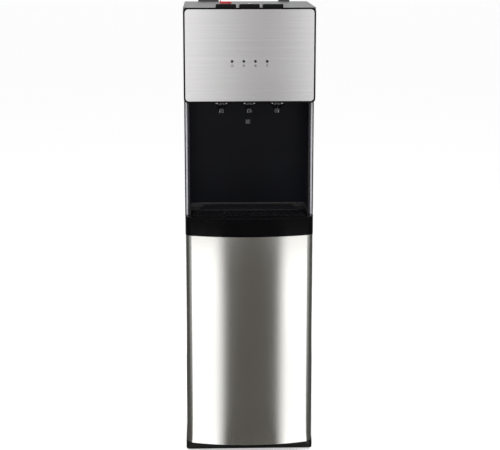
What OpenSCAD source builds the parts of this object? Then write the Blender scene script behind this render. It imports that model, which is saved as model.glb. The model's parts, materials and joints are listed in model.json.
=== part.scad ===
// Floor-standing bottom-load water cooler.
// Millimetres. Z is up, the front faces -Y, and X runs to the viewer's right.
// The origin is on the floor, under the middle of the whole object.
// Modules work in depth: y = 0 is the face of the upper front panel and y grows towards the back.

/* [Cabinet] */
// Width of the cabinet, the front panel and the door
cabinet_w = 310; // [300:1:330]
// Distance from the front panel's face to the cabinet's back
cabinet_d = 303; // [300:1:325]
// Height of the top deck above the floor
deck_z = 1100; // [1090:1:1160]
// Thickness of the sheet steel
sheet_t = 1; // [0.8:0.1:1.5]
// Width of the folded edges of the sheet steel
flange_w = 12; // [10:0.5:13]
// Distance from the panel's face to the front edges of the cabinet's sides
side_front = 43; // [42:0.5:46]
// Wall of the moulded covers
cover_wall = 3; // [2:0.1:3.4]

/* [Base] */
// Width of the base
base_w = 315; // [312:1:335]
// Distance from the panel's face to the base's front
base_front = 35; // [30:0.5:38]
// Height of the base moulding
base_h = 21; // [18:0.5:30]
// Height of the feet under the base
foot_h = 3; // [2:0.5:8]
// Diameter of a foot's pad
foot_pad_d = 28; // [20:1:34]
// Diameter of a front foot's threaded stem
foot_stem_d = 8; // [6:0.5:12]
// How far a front foot screws out
foot_travel = 10; // [5:0.5:12]

/* [Door] */
// Radius of the door's gentle front curve
bow_r = 456; // [400:1:600]
// Radius of the door's round front corners
corner_r = 25; // [20:0.5:32]
// How far the door's middle stands in front of the panel's face
nose_out = 12; // [8:0.5:16]
// Distance from the panel's face to the door's rear edges
door_back = 39; // [37:0.5:41]
// Height of the door's steel skin
door_h = 527; // [515:1:545]
// Thickness of the door's steel skin
door_skin_t = 1; // [0.8:0.1:1.4]
// Thickness of the whole curved door
door_t = 14.5; // [13:0.5:17]
// Wall of the door's plastic liner
liner_wall = 2; // [1.5:0.1:2.4]
// Thickness of the door's end caps
door_cap_t = 3.5; // [2.5:0.1:4.5]
// Gap under and over the door
door_gap = 1.5; // [1:0.1:3]
// Diameter of the hinge pins
hinge_pin_d = 5; // [4:0.1:5.4]

/* [Drip tray] */
// Height of the black front band over the door
apron_h = 44; // [38:0.5:50]
// Width of the drip tray
tray_w = 276; // [250:1:278]
// Depth of the drip tray from front to back
tray_d = 66; // [56:0.5:70]
// Distance from the panel's face to the drip tray's front
tray_front = 20; // [18:0.5:24]
// Height of the drip tray
tray_h = 25; // [18:0.5:30]
// Wall of the drip tray
tray_wall = 2; // [1.5:0.1:3]
// Radius of the drip tray's corners
tray_r = 18; // [12:0.5:24]
// Thickness of the drip grille
grille_t = 3; // [2:0.1:4]
// Distance between the grille's openings
grille_pitch = 12; // [11:0.5:16]
// Width of one grille opening
grille_hole = 6; // [4.5:0.1:6.5]

/* [Front panel] */
// Height of the front panel
panel_h = 222; // [200:1:224]
// Width of the black rim around the steel face
panel_rim = 4; // [3:0.1:6]
// Radius of the panel's corners
panel_r = 10; // [6:0.5:14]
// Thickness of the panel's brushed steel face
panel_skin_t = 0.8; // [0.6:0.1:1.2]
// Thickness of the panel frame's front wall
panel_wall = 4; // [3.5:0.1:4.3]
// Diameter of an indicator light
led_d = 5; // [4:0.1:6]
// Distance between indicator lights
led_pitch = 27.4; // [20:0.1:34]
// How far the indicator lights sit below the top deck
led_drop = 124.5; // [100:0.5:160]

/* [Keys] */
// Width of a dispensing key
key_w = 47.5; // [40:0.5:48.5]
// Depth of a dispensing key
key_d = 55; // [40:0.5:60]
// Distance between the keys' middles
key_pitch = 55; // [54:0.5:60]
// How far a key stands above the deck
key_rise = 8; // [6:0.5:11]
// Radius of a key's upper edges
key_r = 3; // [1.5:0.5:4]
// How far a key presses down
key_travel = 4; // [2:0.5:5]
// Diameter of a key's stem
key_stem_d = 8; // [6:0.5:10]
// Outer diameter of a key's return spring
spring_d = 15; // [13:0.5:20]
// Wire diameter of a key's return spring
spring_wire = 1.2; // [0.9:0.1:1.5]
// Width of the child lock's slider
lock_w = 27; // [20:0.5:32]
// How far the child lock slides
lock_travel = 5; // [3:0.5:6]

/* [Alcove and spouts] */
// Depth of the machine room between the alcove and the back
room_d = 151; // [148:0.5:158]
// Distance between the spouts' middles
spout_pitch = 66; // [58:0.5:72]
// Diameter of a spout's funnel at its top
spout_top_d = 40; // [32:0.5:46]
// Diameter of a spout's nozzle
spout_tip_d = 14.5; // [12:0.5:18]
// Height of a spout under the alcove's ceiling
spout_h = 38; // [30:0.5:44]
// Width of the bright strips on the alcove's front edges
trim_w = 7; // [5:0.5:8]

/* [Back] */
// How far the wall spacers stand out of the back
spacer_out = 45; // [40:0.5:60]
// Distance between the condenser's runs
condenser_pitch = 36; // [32:0.5:37]
// Diameter of the condenser's tube
condenser_tube_d = 5; // [4:0.1:6]
// How far the condenser stands behind the back
condenser_out = 32; // [28:0.5:36]
// Tilt of a rocker switch each way from level
rocker_tilt = 10; // [6:0.5:12]

/* [Inside] */
// Diameter of the cold tank
cold_tank_d = 116; // [100:1:118]
// Height of the cold tank
cold_tank_h = 140; // [120:1:145]
// Thickness of the cold tank's foam jacket
foam_t = 16.5; // [12:0.5:17]
// Diameter of the hot tank
hot_tank_d = 96; // [80:1:98]
// Height of the hot tank
hot_tank_h = 130; // [110:1:150]
// Diameter of the compressor's shell
compressor_d = 122; // [110:1:124]
// Height of the compressor's shell
compressor_h = 160; // [140:1:170]
// Outer diameter of the water pipes
pipe_d = 10; // [8:0.5:10.5]
// Diameter of the bottle that the compartment holds
bottle_d = 270; // [260:1:272]

/* [Hidden] */

// Clearances
fit = 0.05; // between a pin and its bore
slip = 0.5; // around a piece that slides or lifts out
touch = 0.3; // between a moving piece and its rest
eps = 1; // how far a cut runs past a face
round_fn = 48;

// Heights, from the floor up
base_z = foot_h;
base_top = base_z + base_h;
door_z = base_top + door_gap;
skin_z = door_z + door_cap_t;
skin_top = skin_z + door_h;
shelf_z = skin_top + door_gap;
shelf_top = shelf_z + sheet_t;
apron_z = shelf_z;
apron_top = apron_z + apron_h;
panel_z = deck_z - panel_h;
ceiling_z = panel_z + 6;
ceiling_t = cover_wall;
platform_z = ceiling_z + ceiling_t;
cover_h = 14;
cover_z = deck_z - cover_h;

// Places across and along the cabinet
half_w = cabinet_w / 2;
half_in = half_w - sheet_t;
side_back = cabinet_d - sheet_t;
flange_back = side_back - sheet_t;
flange_in = half_w - flange_w;
alcove_back = flange_back - room_d - cover_wall;
front_y = -(cabinet_d + spacer_out - nose_out) / 2;
bow_y = bow_r - nose_out;

// Hinge line of the door, in the middle of the door's thickness at its round corner
corner_x = half_w - corner_r;
corner_y = bow_y - sqrt(pow(bow_r - corner_r, 2) - pow(corner_x, 2));
hinge_in = door_t / 2;
hinge_turn = 29;
hinge_x = corner_x + (corner_r - hinge_in) * cos(hinge_turn);
hinge_y = corner_y - (corner_r - hinge_in) * sin(hinge_turn);

// Keys
key_y = panel_wall + 1;
key_stem_y = key_y + key_d / 2;
key_skirt = 10;
key_low = deck_z - key_skirt;
bed_t = 3;
bed_top = key_low - 13;
bed_low = bed_top - 30;
key_xs = [-key_pitch, 0, key_pitch];
spout_xs = [-spout_pitch, 0, spout_pitch];
spout_y = 35;
spout_stem_d = 12;
spout_stem_h = 15;
pipe_z = platform_z + 28;

// Feet
foot_x = base_w / 2 - 28;
foot_y = base_front + 27;
rear_foot_y = cabinet_d - 20;

// Tanks and compressor
room_gap = 6;
foam_floor = 13;
tank_wall_t = 2;
coil_d = 6;
coil_gap = 1;
foam_in_r = cold_tank_d / 2 + coil_d + 2 * coil_gap;
foam_r = foam_in_r + foam_t;
tank_y = flange_back - foam_r - room_gap / 2;
cold_x = half_in - foam_r - room_gap;
hot_x = hot_tank_d / 2 + room_gap - half_in;
mount_h = 11.5;
mount_d = 16;
plate_t = 3;
shell_wall = 6;
compressor_x = half_in - compressor_d / 2 - 38;
compressor_y = flange_back - compressor_d / 2 - 12;
compressor_z = shelf_top + mount_h;
compressor_top = compressor_z + plate_t + compressor_h;
suction_d = 6;
suction_x = half_w - 48;
capillary_d = 3;
pipes_y = side_back - 10.5;
riser_x = -35;
riser_y = alcove_back + cover_wall + 12;
pump_w = 70;
pump_h = 90;
pump_x = pump_w / 2 + 19 - half_in;
pump_y = alcove_back + cover_wall + 15 + pump_w / 2;
probe_x = 36 - half_in;
probe_y = flange_back - 39;

// Condenser
runs = 8;
condenser_y = cabinet_d + condenser_out;
condenser_z = shelf_z + 48;
condenser_top = condenser_z + (runs - 1) * condenser_pitch;
condenser_half = half_w - 30;
wire_pitch = 20;
dryer_z = condenser_z + 35;
dryer_h = 80;
inlet_x = half_w - 20;
outlet_x = half_w - 37;

// Switches and drain
switch_x = 60 - half_w;
switch_z = deck_z - 75;
switch_pitch = 26;
rocker_w = 20;
rocker_r = 10;
rocker_y = cabinet_d - 2;
drain_x = cold_x;
drain_z = platform_z + foam_floor + 18;
drain_d = 16;
drain_len = 25;

// Sheets and screws
screw_hole_d = 3.2;
screw_zs = [base_top + 40, base_top + 270, shelf_z - 40, shelf_z + 60, platform_z - 60, cover_z - 90];
louvre_w = 44;
louvre_pitch = 60;

// Front panel
led_xs = [for (k = [-1.5:1.5]) k * led_pitch];
led_z = deck_z - led_drop;
board_y = panel_wall + 4;

// Child lock
lock_y = key_y + key_d - 18;
lock_d = 8;
tongue_w = 18;
tongue_d = 3;
tongue_h = 6;

// Tray zone
recess_floor = apron_top - tray_h;
tray_mid_y = tray_front + tray_d / 2;

// Door fittings
liner_top = skin_top - door_cap_t;
hinge_boss_h = 11;
hinge_boss_d = hinge_pin_d + 3;
hinge_plate_t = 2.5;
hinge_plate_w = 24;
hinge_plate_in = 34;
magnet_w = 36;
magnet_x = magnet_w / 2 + 7 - flange_in;

// Bottle compartment
bottle_y = flange_back - bottle_d / 2 - 2;
floor_t = 4;
probe_seat = shelf_z - 7;

// Rockers
switch_xs = [switch_x - switch_pitch / 2, switch_x + switch_pitch / 2];
pivot_d = 3;

black = [0.07, 0.07, 0.075];
dark = [0.16, 0.16, 0.17];
steel = [0.72, 0.71, 0.70];

// Shared shapes

// Points along an arc about a middle, from one angle to another
function arc(middle, r, from, to, steps) =
    [for (i = [0:steps]) let (a = from + (to - from) * i / steps) middle + r * [cos(a), sin(a)]];

// Outline of the door and of what lines up with it, drawn in by an inset and cut off at a back line
function bow(inset, back) =
    let (r = corner_r - inset, turn = atan2(corner_x, bow_y - corner_y))
    concat(
        [[half_w - inset, back], [-(half_w - inset), back]],
        arc([-corner_x, corner_y], r, 180, 270 - turn, 8),
        [for (i = [1:23]) let (a = 270 - turn + 2 * turn * i / 24) [0, bow_y] + (bow_r - inset) * [cos(a), sin(a)]],
        arc([corner_x, corner_y], r, 270 + turn, 360, 8)
    );

module from_front() {
    translate([0, front_y, 0]) children();
}

module block(low, high) {
    translate(low) cube(high - low);
}

module bow_block(inset, back, low_z, high_z) {
    translate([0, 0, low_z]) linear_extrude(high_z - low_z) polygon(bow(inset, back));
}

// Rectangle with round corners, centred
module rounded(w, h, r) {
    square([w - 2 * r, h], center = true);
    square([w, h - 2 * r], center = true);
    for (x = [-1, 1], y = [-1, 1])
        translate([x * (w / 2 - r), y * (h / 2 - r)]) circle(r, $fn = round_fn);
}

// Upright plate in the front view: x and z sizes about a middle, from one depth to another
module front_plate(w, h, r, middle_z, y0, y1) {
    translate([0, y1, middle_z]) rotate([90, 0, 0]) linear_extrude(y1 - y0) rounded(w, h, r);
}

module post(x, y, low_z, high_z, d) {
    translate([x, y, low_z]) cylinder(h = high_z - low_z, d = d, $fn = round_fn);
}

// Rod along the depth
module rod(x, z, y0, y1, d) {
    translate([x, y0, z]) rotate([-90, 0, 0]) cylinder(h = y1 - y0, d = d, $fn = round_fn);
}

// Pipe through a list of places, with round elbows
module pipe(places, d) {
    for (i = [0:len(places) - 2]) {
        run = places[i + 1] - places[i];
        translate(places[i])
            rotate([0, acos(run[2] / norm(run)), atan2(run[1], run[0])])
                cylinder(h = norm(run), d = d, $fn = 24);
    }
    for (i = [1:1:len(places) - 2]) translate(places[i]) sphere(d = d, $fn = 24);
}

// Wound wire as one unbroken tube: sides to the wire, rings to the turn
module winding(middle_r, wire_d, height, turns, rings, sides) {
    last = turns * rings;
    climb = (height - wire_d) / turns;
    points = [for (i = [0:last], k = [0:sides - 1])
        let (a = 360 * i / rings, b = 360 * k / sides, r = middle_r + wire_d / 2 * cos(b))
        [r * cos(a), r * sin(a), wire_d / 2 + climb * i / rings + wire_d / 2 * sin(b)]];
    walls = [for (i = [0:last - 1], k = [0:sides - 1])
        let (a = i * sides + k, b = i * sides + (k + 1) % sides)
        each [[a, b, b + sides], [a, b + sides, a + sides]]];
    ends = [for (k = [1:sides - 2]) each [[0, k + 1, k], [last * sides, last * sides + k, last * sides + k + 1]]];
    polyhedron(points, concat(walls, ends), convexity = 8);
}

// Cabinet

module hinge_plate_outline(grow) {
    translate([hinge_x - hinge_plate_w / 2 - grow, base_front - eps])
        square([hinge_plate_w + 2 * grow - 6, hinge_plate_in + grow + eps]);
}

module base_tray() {
    color(black) from_front() difference() {
        union() {
            difference() {
                translate([0, (base_front + cabinet_d) / 2, base_z])
                    linear_extrude(base_h) rounded(base_w, cabinet_d - base_front, 10);
                translate([0, (base_front + cabinet_d) / 2, base_z + cover_wall])
                    linear_extrude(base_h) rounded(base_w - 10, cabinet_d - base_front - 10, 6);
            }
            for (x = [-foot_x, foot_x]) post(x, foot_y, base_z, base_top, foot_stem_d + 14);
            for (x = [-base_w / 4, 0, base_w / 4])
                block([x - 1.5, base_front + 4, base_z + 1], [x + 1.5, cabinet_d - 4, base_top]);
            block([hinge_x - hinge_plate_w / 2 - 4, base_front + 4, base_z + 1], [half_w, base_front + 44, base_top]);
        }
        for (x = [-foot_x, foot_x]) post(x, foot_y, base_z - eps, base_top + eps, foot_stem_d + 2 * fit);
        translate([0, 0, base_top - hinge_plate_t]) linear_extrude(hinge_plate_t + eps) hinge_plate_outline(fit);
    }
}

module front_foot(x) {
    from_front() {
        post(x, foot_y, 0, foot_h, foot_pad_d);
        post(x, foot_y, foot_h - eps, base_top - 12 + foot_travel, foot_stem_d);
    }
}

module front_foot_left() { color(dark) front_foot(-foot_x); }

module front_foot_right() { color(dark) front_foot(foot_x); }

module rear_feet() {
    color(dark) from_front() for (x = [-foot_x, foot_x])
        translate([x, rear_foot_y, 0]) linear_extrude(foot_h) rounded(36, 22, 6);
}

module screw_holes() {
    for (x = [-1, 1], z = screw_zs)
        rod(x * (half_w - flange_w / 2 - 1), z, flange_back - eps, cabinet_d + eps, screw_hole_d);
}

// One side of the cabinet: a sheet with a folded edge at the front and at the back
module side_panel() {
    difference() {
        union() {
            block([half_in, side_front, base_top], [half_w, side_back, cover_z]);
            block([flange_in, side_front, base_top], [half_w, side_front + sheet_t, cover_z]);
            block([flange_in, flange_back, base_top], [half_w, side_back, cover_z]);
        }
        screw_holes();
    }
}

module side_right() { color(black) from_front() side_panel(); }

module side_left() { color(black) from_front() mirror([1, 0, 0]) side_panel(); }

module back_lower() {
    color(dark) from_front() difference() {
        block([-half_w, side_back, base_top], [half_w, cabinet_d, shelf_top]);
        screw_holes();
    }
}

module back_upper() {
    color(dark) from_front() difference() {
        block([-half_w, side_back, shelf_top], [half_w, cabinet_d, cover_z]);
        screw_holes();
        for (i = [-1.5:1.5], k = [0:5])
            translate([i * louvre_pitch, side_back, condenser_z + 20 + 18 * k]) block([-louvre_w / 2, -eps, 0], [louvre_w / 2, eps + sheet_t, 5]);
        block([switch_x - 29, side_back - eps, switch_z - 14], [switch_x + 29, cabinet_d + eps, switch_z + 14]);
        rod(drain_x, drain_z, side_back - eps, cabinet_d + eps, drain_d + 2 * fit);
        rod(inlet_x, condenser_top, side_back - eps, cabinet_d + eps, condenser_tube_d + 1);
        rod(outlet_x, condenser_z, side_back - eps, cabinet_d + eps, condenser_tube_d + 1);
    }
}

module mid_shelf() {
    color(dark) from_front() difference() {
        union() {
            block([-half_in, side_front + sheet_t, shelf_z], [half_in, flange_back, shelf_top]);
            // Hanger that holds the bottle probe by its neck
            difference() {
                block([probe_x - 22, probe_y - 20, shelf_z - 10], [probe_x + 22, probe_y + 20, shelf_z]);
                block([probe_x - 19, probe_y - 30, shelf_z - 7], [probe_x + 19, probe_y + 17, shelf_z + eps]);
                post(probe_x, probe_y, shelf_z - 11, shelf_z, 19);
                block([probe_x - 9.5, probe_y - 30, shelf_z - 11], [probe_x + 9.5, probe_y, shelf_z - 6]);
            }
        }
        post(probe_x, probe_y, shelf_z - eps, shelf_top + eps, pipe_d);
        for (k = [0:7]) block([10 + 16 * k, 165, shelf_z - eps], [16 + 16 * k, 170, shelf_top + eps]);
    }
}

module top_cover() {
    color([0.2, 0.2, 0.21]) from_front() difference() {
        translate([0, (panel_wall + touch + cabinet_d) / 2, cover_z])
            linear_extrude(cover_h) rounded(cabinet_w, cabinet_d - panel_wall - touch, 4);
        translate([0, (panel_wall + cabinet_d) / 2, cover_z - eps])
            linear_extrude(cover_h - cover_wall + eps) rounded(cabinet_w - 5, cabinet_d - panel_wall - 5, 3);
        for (x = key_xs)
            block(
                [x - key_w / 2 - slip, 0, cover_z - eps],
                [x + key_w / 2 + slip, key_y + key_d + slip, deck_z + eps]
            );
    }
}

module wall_spacers() {
    color(dark) from_front() for (s = [[60 - half_w, 52], [half_w - 58, 27]]) difference() {
        block([s[0] - s[1] / 2, cabinet_d, deck_z - 50], [s[0] + s[1] / 2, cabinet_d + spacer_out, deck_z + 14]);
        block(
            [s[0] - s[1] / 2 + cover_wall, cabinet_d + cover_wall, deck_z - 50 - eps],
            [s[0] + s[1] / 2 - cover_wall, cabinet_d + spacer_out - cover_wall, deck_z + 14 - cover_wall]
        );
    }
}

// Front panel

module panel_frame() {
    color(black) from_front() difference() {
        front_plate(cabinet_w, panel_h, panel_r, panel_z + panel_h / 2, 0, side_front);
        front_plate(
            cabinet_w - 2 * panel_rim, panel_h - 2 * panel_rim, panel_r - 2,
            panel_z + panel_h / 2, -eps, panel_skin_t
        );
        block([-half_w + cover_wall, panel_wall, panel_z - eps], [half_w - cover_wall, side_front + eps, deck_z + eps]);
        block([-half_w - eps, panel_wall, cover_z], [half_w + eps, side_front + eps, deck_z + eps]);
        for (x = led_xs) rod(x, led_z, -eps, panel_wall + eps, led_d + 2 * fit);
    }
}

module panel_skin() {
    color(steel) from_front() difference() {
        front_plate(
            cabinet_w - 2 * panel_rim, panel_h - 2 * panel_rim, panel_r - 2,
            panel_z + panel_h / 2, 0, panel_skin_t
        );
        for (x = led_xs) rod(x, led_z, -eps, panel_skin_t + eps, led_d + 2 * fit);
    }
}

module indicator_lenses() {
    color(dark) from_front() for (x = led_xs) rod(x, led_z, -touch, board_y, led_d);
}

module indicator_board() {
    board_half = 1.5 * led_pitch + 19;
    color("darkgreen") from_front() {
        block([-board_half, board_y, led_z - 22], [board_half, board_y + 1.6, led_z + 22]);
        for (x = [6 - board_half, board_half - 6], z = [-16, 16]) rod(x, led_z + z, panel_wall, board_y + eps, 5);
        block([-40, board_y + 1.6, led_z - 14], [-10, board_y + 12, led_z + 6]);
        block([12, board_y + 1.6, led_z - 16], [30, board_y + 16, led_z - 2]);
    }
}

// Alcove

module alcove_shell() {
    wall_out = flange_in + 6;
    color(black) from_front() difference() {
        union() {
            block([-wall_out, alcove_back, apron_top], [wall_out, alcove_back + cover_wall, ceiling_z + eps]);
            for (x = [-wall_out, wall_out - cover_wall])
                block([x, side_front + sheet_t, apron_top], [x + cover_wall, alcove_back + eps, ceiling_z + eps]);
            block([-half_in, side_front + sheet_t, ceiling_z], [half_in, flange_back, platform_z]);
            block(
                [-(flange_in - touch), panel_wall, ceiling_z],
                [flange_in - touch, side_front + sheet_t + eps, platform_z]
            );
        }
        for (x = spout_xs) post(x, spout_y, ceiling_z - eps, platform_z + eps, spout_stem_d + 2 * fit);
        post(riser_x, riser_y, ceiling_z - eps, platform_z + eps, pipe_d + 1);
        post(outlet_x, pipes_y, ceiling_z - eps, platform_z + eps, capillary_d + 3);
        post(suction_x, pipes_y, ceiling_z - eps, platform_z + eps, suction_d + 2);
    }
}

module alcove_trims() {
    color([0.6, 0.6, 0.65]) from_front() for (s = [-1, 1])
        translate([s * (half_w - 3 - trim_w / 2), side_front - 1.3, apron_top])
            linear_extrude(panel_z - apron_top) rounded(trim_w, 2.6, 1.2);
}

module spout(x) {
    tip_h = 12;
    cone_h = 10;
    color(black) from_front() translate([x, spout_y, ceiling_z - spout_h]) {
        rotate_extrude($fn = round_fn) polygon([
            [spout_tip_d / 2 - 3, 0], [spout_tip_d / 2, 0], [spout_tip_d / 2, tip_h],
            [spout_top_d / 2 - 3, tip_h + cone_h], [spout_top_d / 2, tip_h + cone_h + 3],
            [spout_top_d / 2, spout_h], [spout_stem_d / 2, spout_h],
            [spout_stem_d / 2, spout_h + spout_stem_h], [spout_tip_d / 2 - 3, spout_h + spout_stem_h]
        ]);
    }
}

module spout_hot() { spout(spout_xs[0]); }

module spout_room() { spout(spout_xs[1]); }

module spout_cold() { spout(spout_xs[2]); }

module sensor_window() {
    color([0.4, 0.4, 0.4]) from_front()
        front_plate(12, 11, 1, ceiling_z - 70, alcove_back - 1.5, alcove_back);
}

// Keys

module key(x) {
    color(black) from_front() {
        translate([x, key_y + key_d, 0]) rotate([90, 0, 0]) linear_extrude(key_d) {
            translate([-key_w / 2, key_low]) square([key_w, deck_z + key_rise - key_r - key_low]);
            translate([-key_w / 2 + key_r, key_low]) square([key_w - 2 * key_r, deck_z + key_rise - key_low]);
            for (s = [-1, 1])
                translate([s * (key_w / 2 - key_r), deck_z + key_rise - key_r]) circle(key_r, $fn = round_fn);
        }
        post(x, key_stem_y, bed_top - bed_t - 8, key_low + eps, key_stem_d);
    }
}

module key_hot() {
    color(black) difference() {
        key(key_xs[0]);
        from_front() block(
            [key_xs[0] - tongue_w / 2 - slip, lock_y - tongue_d / 2 - slip, deck_z + key_rise - tongue_h - touch],
            [key_xs[0] + tongue_w / 2 + slip, lock_y + tongue_d / 2 + lock_travel + slip, deck_z + key_rise + eps]
        );
    }
}

module key_room() { key(key_xs[1]); }

module key_cold() { key(key_xs[2]); }

module child_lock() {
    low = deck_z + key_rise + touch / 2;
    color([0.75, 0.15, 0.17]) from_front() {
        translate([key_xs[0], lock_y, low]) linear_extrude(4) rounded(lock_w, lock_d, 1.5);
        block(
            [key_xs[0] - tongue_w / 2, lock_y - tongue_d / 2, deck_z + key_rise - tongue_h],
            [key_xs[0] + tongue_w / 2, lock_y + tongue_d / 2, low + eps]
        );
        block([key_xs[0] - lock_w / 2, lock_y - 2, low + 2], [key_xs[0] - lock_w / 2 + 2, lock_y + 2, low + 8]);
    }
}

module key_bed() {
    side_x = key_pitch + key_w / 2 + 18;
    bed_back = key_y + key_d + 2;
    color(dark) from_front() difference() {
        union() {
            block([-side_x, key_y + 3, bed_top - bed_t], [side_x, bed_back, bed_top]);
            block([-side_x, key_y + 3, bed_low - bed_t], [side_x, bed_back, bed_low]);
            for (x = [-side_x, side_x - bed_t]) block([x, key_y + 3, bed_low - bed_t], [x + bed_t, bed_back, deck_z - cover_wall]);
        }
        for (x = key_xs) post(x, key_stem_y, bed_top - bed_t - eps, bed_top + eps, key_stem_d + 2 * fit);
    }
}

module key_spring(x) {
    color("silver") from_front() translate([x, key_stem_y, bed_top])
        winding((spring_d - spring_wire) / 2, spring_wire, key_low - bed_top, 4, 10, 6);
}

module spring_hot() { key_spring(key_xs[0]); }

module spring_room() { key_spring(key_xs[1]); }

module spring_cold() { key_spring(key_xs[2]); }

module microswitches() {
    plunger_top = bed_top - bed_t - 8 - key_travel - touch;
    color([0.25, 0.25, 0.27]) from_front() for (x = key_xs) {
        block([x - 10, key_stem_y - 3.5, bed_low], [x + 10, key_stem_y + 3.5, plunger_top - 1.5]);
        post(x, key_stem_y, plunger_top - 2.5, plunger_top, 3);
    }
}

// Tray zone

module tray_outline(inset) {
    translate([0, tray_mid_y]) rounded(tray_w - 2 * inset, tray_d - 2 * inset, tray_r - inset);
}

module tray_housing() {
    front_back = side_front - 0.1;
    rear_half = flange_in - touch;
    color(black) from_front() difference() {
        union() {
            difference() {
                bow_block(0, front_back, apron_z, apron_top);
                bow_block(cover_wall, front_back + eps, apron_z - eps, apron_top - cover_wall);
            }
            difference() {
                block([-rear_half, front_back - eps, shelf_top], [rear_half, alcove_back + cover_wall, apron_top]);
                block(
                    [-rear_half + cover_wall, front_back - 2 * eps, shelf_top - eps],
                    [rear_half - cover_wall, alcove_back, apron_top - cover_wall]
                );
            }
            block(
                [-flange_in - 6, side_front + sheet_t, apron_top - cover_wall],
                [flange_in + 6, alcove_back + cover_wall, apron_top]
            );
            // Raised ramp behind the tray
            intersection() {
                translate([-half_w, 0, 0]) rotate([90, 0, 90]) linear_extrude(cabinet_w) polygon([
                    [tray_front + tray_d + 6, apron_top - eps], [tray_front + tray_d + 8, apron_top + 2],
                    [alcove_back, apron_top + 7], [alcove_back, apron_top - eps]
                ]);
                translate([0, 0, apron_top - 2]) linear_extrude(12) polygon([
                    [-126, tray_front + tray_d + 5], [126, tray_front + tray_d + 5], [104, alcove_back], [-104, alcove_back]
                ]);
            }
            translate([0, 0, recess_floor - cover_wall])
                linear_extrude(apron_top - recess_floor + cover_wall - eps) tray_outline(-slip - 2);
        }
        translate([0, 0, recess_floor]) linear_extrude(tray_h + eps) tray_outline(-slip);
    }
}

module drip_tray() {
    color(black) from_front() difference() {
        translate([0, 0, recess_floor]) linear_extrude(tray_h) tray_outline(0);
        translate([0, 0, apron_top - grille_t]) linear_extrude(grille_t + eps) tray_outline(tray_wall);
        translate([0, 0, recess_floor + tray_wall]) linear_extrude(tray_h) tray_outline(tray_wall + 3);
    }
}

module drip_grille() {
    inset = tray_wall + touch;
    field_x = tray_w / 2 - inset - tray_r / 2 - 3;
    field_y = tray_d / 2 - inset - 6;
    columns = floor(field_x / grille_pitch * 2);
    rows = floor(field_y / grille_pitch * 2);
    color(black) from_front() translate([0, 0, apron_top - grille_t]) linear_extrude(grille_t - touch) difference() {
        tray_outline(inset);
        translate([0, tray_mid_y]) {
            for (i = [-columns:columns], j = [-rows:rows])
                if ((i + j + 1000) % 2 == 0)
                    translate([i, j] * grille_pitch / 2) rotate(45) square(grille_hole, center = true);
            for (x = spout_xs) translate([x, 0]) square([26, 7], center = true);
        }
    }
}

// Door

module door_skin() {
    color(steel) from_front() difference() {
        bow_block(0, door_back, skin_z, skin_top);
        bow_block(door_skin_t, door_back + eps, skin_z - eps, skin_top + eps);
    }
}

module door_liner() {
    color(dark) from_front() difference() {
        bow_block(door_skin_t, door_back, skin_z, liner_top);
        bow_block(door_t, door_back + eps, skin_z - eps, liner_top + eps);
        difference() {
            bow_block(door_skin_t + liner_wall, door_back - liner_wall, skin_z - 2 * eps, liner_top + 2 * eps);
            bow_block(door_t - liner_wall, door_back + eps, skin_z - 3 * eps, liner_top + 3 * eps);
        }
    }
}

module door_caps() {
    color(black) from_front() difference() {
        union() {
            difference() {
                bow_block(0, door_back, door_z, skin_z);
                bow_block(door_t, door_back + eps, door_z - eps, skin_z + eps);
            }
            difference() {
                bow_block(door_skin_t, door_back, liner_top, skin_top);
                bow_block(door_t, door_back + eps, liner_top - eps, skin_top + eps);
            }
            post(hinge_x, hinge_y, skin_z - eps, skin_z + hinge_boss_h, hinge_boss_d);
            post(hinge_x, hinge_y, liner_top - hinge_boss_h, liner_top + eps, hinge_boss_d);
        }
        post(hinge_x, hinge_y, door_z - eps, skin_z + hinge_boss_h + eps, hinge_pin_d + 2 * fit);
        post(hinge_x, hinge_y, liner_top - hinge_boss_h - eps, skin_top + eps, hinge_pin_d + 2 * fit);
    }
}

module door_magnet() {
    color(dark) from_front()
        block(
            [magnet_x - magnet_w / 2, door_back, liner_top - 22],
            [magnet_x + magnet_w / 2, side_front - touch, liner_top - 2]
        );
}

module catch_plate() {
    half = magnet_w / 2 + 2;
    color("silver") from_front() {
        block([magnet_x - half, side_front, liner_top - 24], [magnet_x + half, side_front + sheet_t, shelf_z]);
        block([magnet_x - half, side_front, shelf_z - sheet_t], [magnet_x + half, side_front + 18, shelf_z]);
    }
}

module hinge_lower() {
    color(dark) from_front() {
        translate([0, 0, base_top - hinge_plate_t]) linear_extrude(hinge_plate_t) union() {
            translate([hinge_x - hinge_plate_w / 2, base_front]) square([hinge_plate_w - 6, hinge_plate_in]);
            translate([hinge_x - hinge_plate_w / 2, hinge_y]) square([hinge_plate_w / 2 + 6, base_front - hinge_y + eps]);
            translate([hinge_x, hinge_y]) circle(7, $fn = round_fn);
        }
        post(hinge_x, hinge_y, base_top - eps, skin_z + hinge_boss_h - 2, hinge_pin_d);
    }
}

module hinge_upper() {
    inner_x = flange_in - cover_wall - 2 * touch;
    color(dark) from_front() {
        translate([0, 0, shelf_top]) linear_extrude(hinge_plate_t) union() {
            translate([inner_x - 26, hinge_y - 4]) square([26, side_front + 26 - hinge_y]);
            translate([inner_x - 26, hinge_y - 4]) square([hinge_x - inner_x + 26, 10]);
            translate([hinge_x, hinge_y]) circle(4, $fn = round_fn);
        }
        post(hinge_x, hinge_y, liner_top - hinge_boss_h + 2, shelf_top + eps, hinge_pin_d);
    }
}

// Bottle compartment

module bottle_floor() {
    color(dark) from_front() {
        block([-flange_in + touch, side_front + touch, base_top], [flange_in - touch, flange_back - touch, base_top + floor_t]);
        intersection() {
            difference() {
                post(0, bottle_y, base_top, base_top + floor_t + 6, bottle_d + 10);
                post(0, bottle_y, base_top - eps, base_top + floor_t + 7, bottle_d + 4);
            }
            block(
                [-flange_in + touch, side_front + touch, base_top],
                [flange_in - touch, flange_back - touch, base_top + floor_t + 6]
            );
        }
    }
}

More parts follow.
